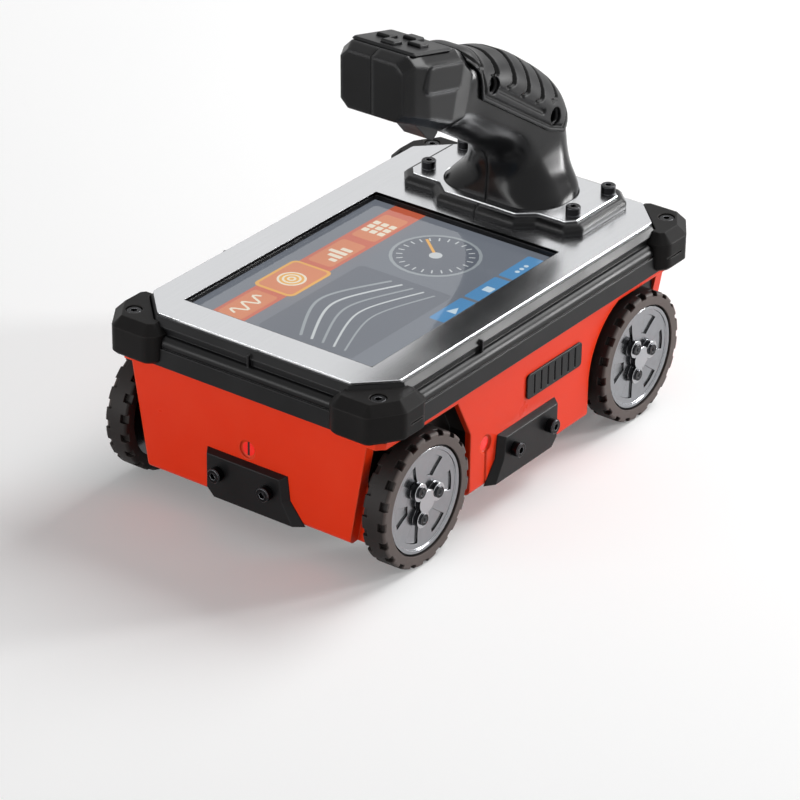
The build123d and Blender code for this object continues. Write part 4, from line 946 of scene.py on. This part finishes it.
# %% The display picture
stroke_half, stroke_in, stroke_out = 0.35, 15.6, 18.6
stroke_lift, slab = 0.15, 0.03
stroke_corners = [(-stroke_half, stroke_in), (stroke_half, stroke_in), (stroke_half, stroke_out),
                  (-stroke_half, stroke_out)]
stroke = bpy.data.meshes.new("gauge_stroke")
stroke.from_pydata([(x * MM, y * MM, 0) for x, y in stroke_corners], [], [(0, 1, 2, 3)])
scale_ring = repeated(stroke, 24, (0, 0, 1), screen_paints["pale"])


def on_deck(u, v, z):
    """A point of the page in the object's own frame."""
    return ((opening_width / 2 - v) * MM, (u + opening_front) * MM, z * MM)


picture = bmesh.new()
for colour, outline, z in screen_marks:
    face = picture.faces.new([picture.verts.new(on_deck(u, v, z)) for u, v in outline])
    face.material_index = screen_order.index(colour)
    face.normal_update()
    if face.normal.z < 0:
        face.normal_flip()
scale_ring.transform(Matrix.Translation(on_deck(gauge_u, gauge_v, screen_low + stroke_lift)))
first = len(picture.faces)
picture.from_mesh(scale_ring)
picture.faces.ensure_lookup_table()
for face in picture.faces[first:]:
    face.material_index = screen_order.index("pale")
screen = as_mesh("display_page", picture)
for hue in screen_order:
    screen.materials.append(screen_paints[hue])
page = piece("display_page", screen, "chassis")
depth = page.modifiers.new("depth", "SOLIDIFY")
depth.thickness = slab * MM
print("page faces", len(screen.polygons))

# %% [markdown]
# The room is a pale floor under soft light. White seen by the camera and by mirrors has a strength of one,
# and most light on the object comes from large area lamps, so its shadows are soft. Lamps reach only the
# middle of a floor, so further out it fades to the same white as the room and shows no horizon.

# %% Rays that see the room
def seen_rays(tree):
    """1 for rays from the camera, from a mirror or through glass, and 0 for rays that only carry light."""
    rays = node(tree, "ShaderNodeLightPath").outputs
    seen = node(tree, "ShaderNodeMath", {
        0: rays["Is Camera Ray"], 1: rays["Is Glossy Ray"]}, operation="MAXIMUM")
    seen = node(tree, "ShaderNodeMath", {
        0: seen.outputs["Value"], 1: rays["Is Transmission Ray"]}, operation="MAXIMUM")
    return seen.outputs["Value"]


# %% Floor
floor_lift, floor_reach = 0.15, 6.0
fade_start, fade_end = 0.3, 1.1
floor_paint, tree = blank_material("floor_pale_sheet")
matt = node(tree, "ShaderNodeBsdfDiffuse", {"Color": linear("#ededed")})
lift = node(tree, "ShaderNodeEmission", {"Color": white, "Strength": floor_lift})
near = node(tree, "ShaderNodeAddShader", {0: matt.outputs["BSDF"], 1: lift.outputs["Emission"]})
place = node(tree, "ShaderNodeTexCoord").outputs["Object"]
away = node(tree, "ShaderNodeVectorMath", {0: place}, operation="LENGTH")
far = node(tree, "ShaderNodeMapRange", {
    "Value": away.outputs["Value"], "From Min": fade_start, "From Max": fade_end},
    interpolation_type="SMOOTHSTEP")
blank = node(tree, "ShaderNodeEmission", {"Color": white, "Strength": 1.0})
fade = node(tree, "ShaderNodeMixShader", {
    0: far.outputs["Result"], 1: near.outputs["Shader"], 2: blank.outputs["Emission"]})
pick = node(tree, "ShaderNodeMixShader", {
    0: seen_rays(tree), 1: matt.outputs["BSDF"], 2: fade.outputs["Shader"]})
node(tree, "ShaderNodeOutputMaterial", {"Surface": pick.outputs["Shader"]})
sheet = bpy.data.meshes.new("floor")
floor_corners = [(floor_reach * x, floor_reach * y, 0) for x, y in ((-1, -1), (1, -1), (1, 1), (-1, 1))]
sheet.from_pydata(floor_corners, [], [(0, 1, 2, 3)])
sheet.materials.append(floor_paint)
floor = in_scene("floor", sheet)
print("floor reaches", floor_reach, "m and is white from", fade_end, "m")

# %% White room
room_light = 0.25
world = bpy.data.worlds.new("white_room")
world.use_nodes = True
bpy.context.scene.world = world
tree = world.node_tree
tree.nodes.clear()
strength = node(tree, "ShaderNodeMapRange", {"Value": seen_rays(tree), "To Min": room_light, "To Max": 1.0})
sky = node(tree, "ShaderNodeBackground", {"Color": white, "Strength": strength.outputs["Result"]})
node(tree, "ShaderNodeOutputWorld", {"Surface": sky.outputs["Background"]})
print("room light", room_light)

# %% [markdown]
# Three lamps shape the object: a large one behind it that lights the deck from above, a strip at the rear
# right that draws the edges of the handle, and a wide low one in front that fills the shadows.

# %% Lamps
def lamp(name, place_mm, aim_mm, size_mm, watts):
    light = bpy.data.lights.new(name, "AREA")
    light.shape = "RECTANGLE"
    light.size = size_mm[0] * MM
    light.size_y = size_mm[1] * MM
    light.energy = watts
    made = in_scene(name, light)
    made.location = Vector(place_mm) * MM
    made.rotation_mode = "QUATERNION"
    made.rotation_quaternion = (Vector(aim_mm) - Vector(place_mm)).to_track_quat("-Z", "Y")


lamp("back_softbox", (300, 1300, 1350), (0, 0, 60), (1000, 1000), 28)
lamp("right_strip", (1000, 1150, 310), (0, 0, 200), (200, 600), 19)
lamp("front_fill", (-450, -1600, 270), (0, 0, 60), (1400, 500), 14)
print("lamps", len(bpy.data.lights))

# %% [markdown]
# The camera stands where the picture was taken: right of the front corner, above the deck, with a long
# lens and less than a degree of roll.

# %% Camera and colour
eye = Vector((945.9, -1302.1, 887.3)) * MM
target = Vector((80.73, -114.85, 93.39)) * MM
roll = math.radians(0.8119)
forward = (target - eye).normalized()
right = forward.cross(Vector((0, 0, 1))).normalized()
up = right.cross(forward)
turned_right = right * math.cos(roll) + up * math.sin(roll)
turned_up = up * math.cos(roll) - right * math.sin(roll)
facing = Matrix((turned_right, turned_up, -forward)).transposed().to_4x4()
lens = bpy.data.cameras.new("long_lens")
lens.lens = 174.2
lens.sensor_width = 36.0
camera = in_scene("camera", lens)
camera.matrix_world = Matrix.Translation(eye) @ facing
bpy.context.scene.camera = camera
bpy.context.scene.view_settings.view_transform = "Standard"
print("camera", round(eye.length, 2), "m from the middle of the floor")
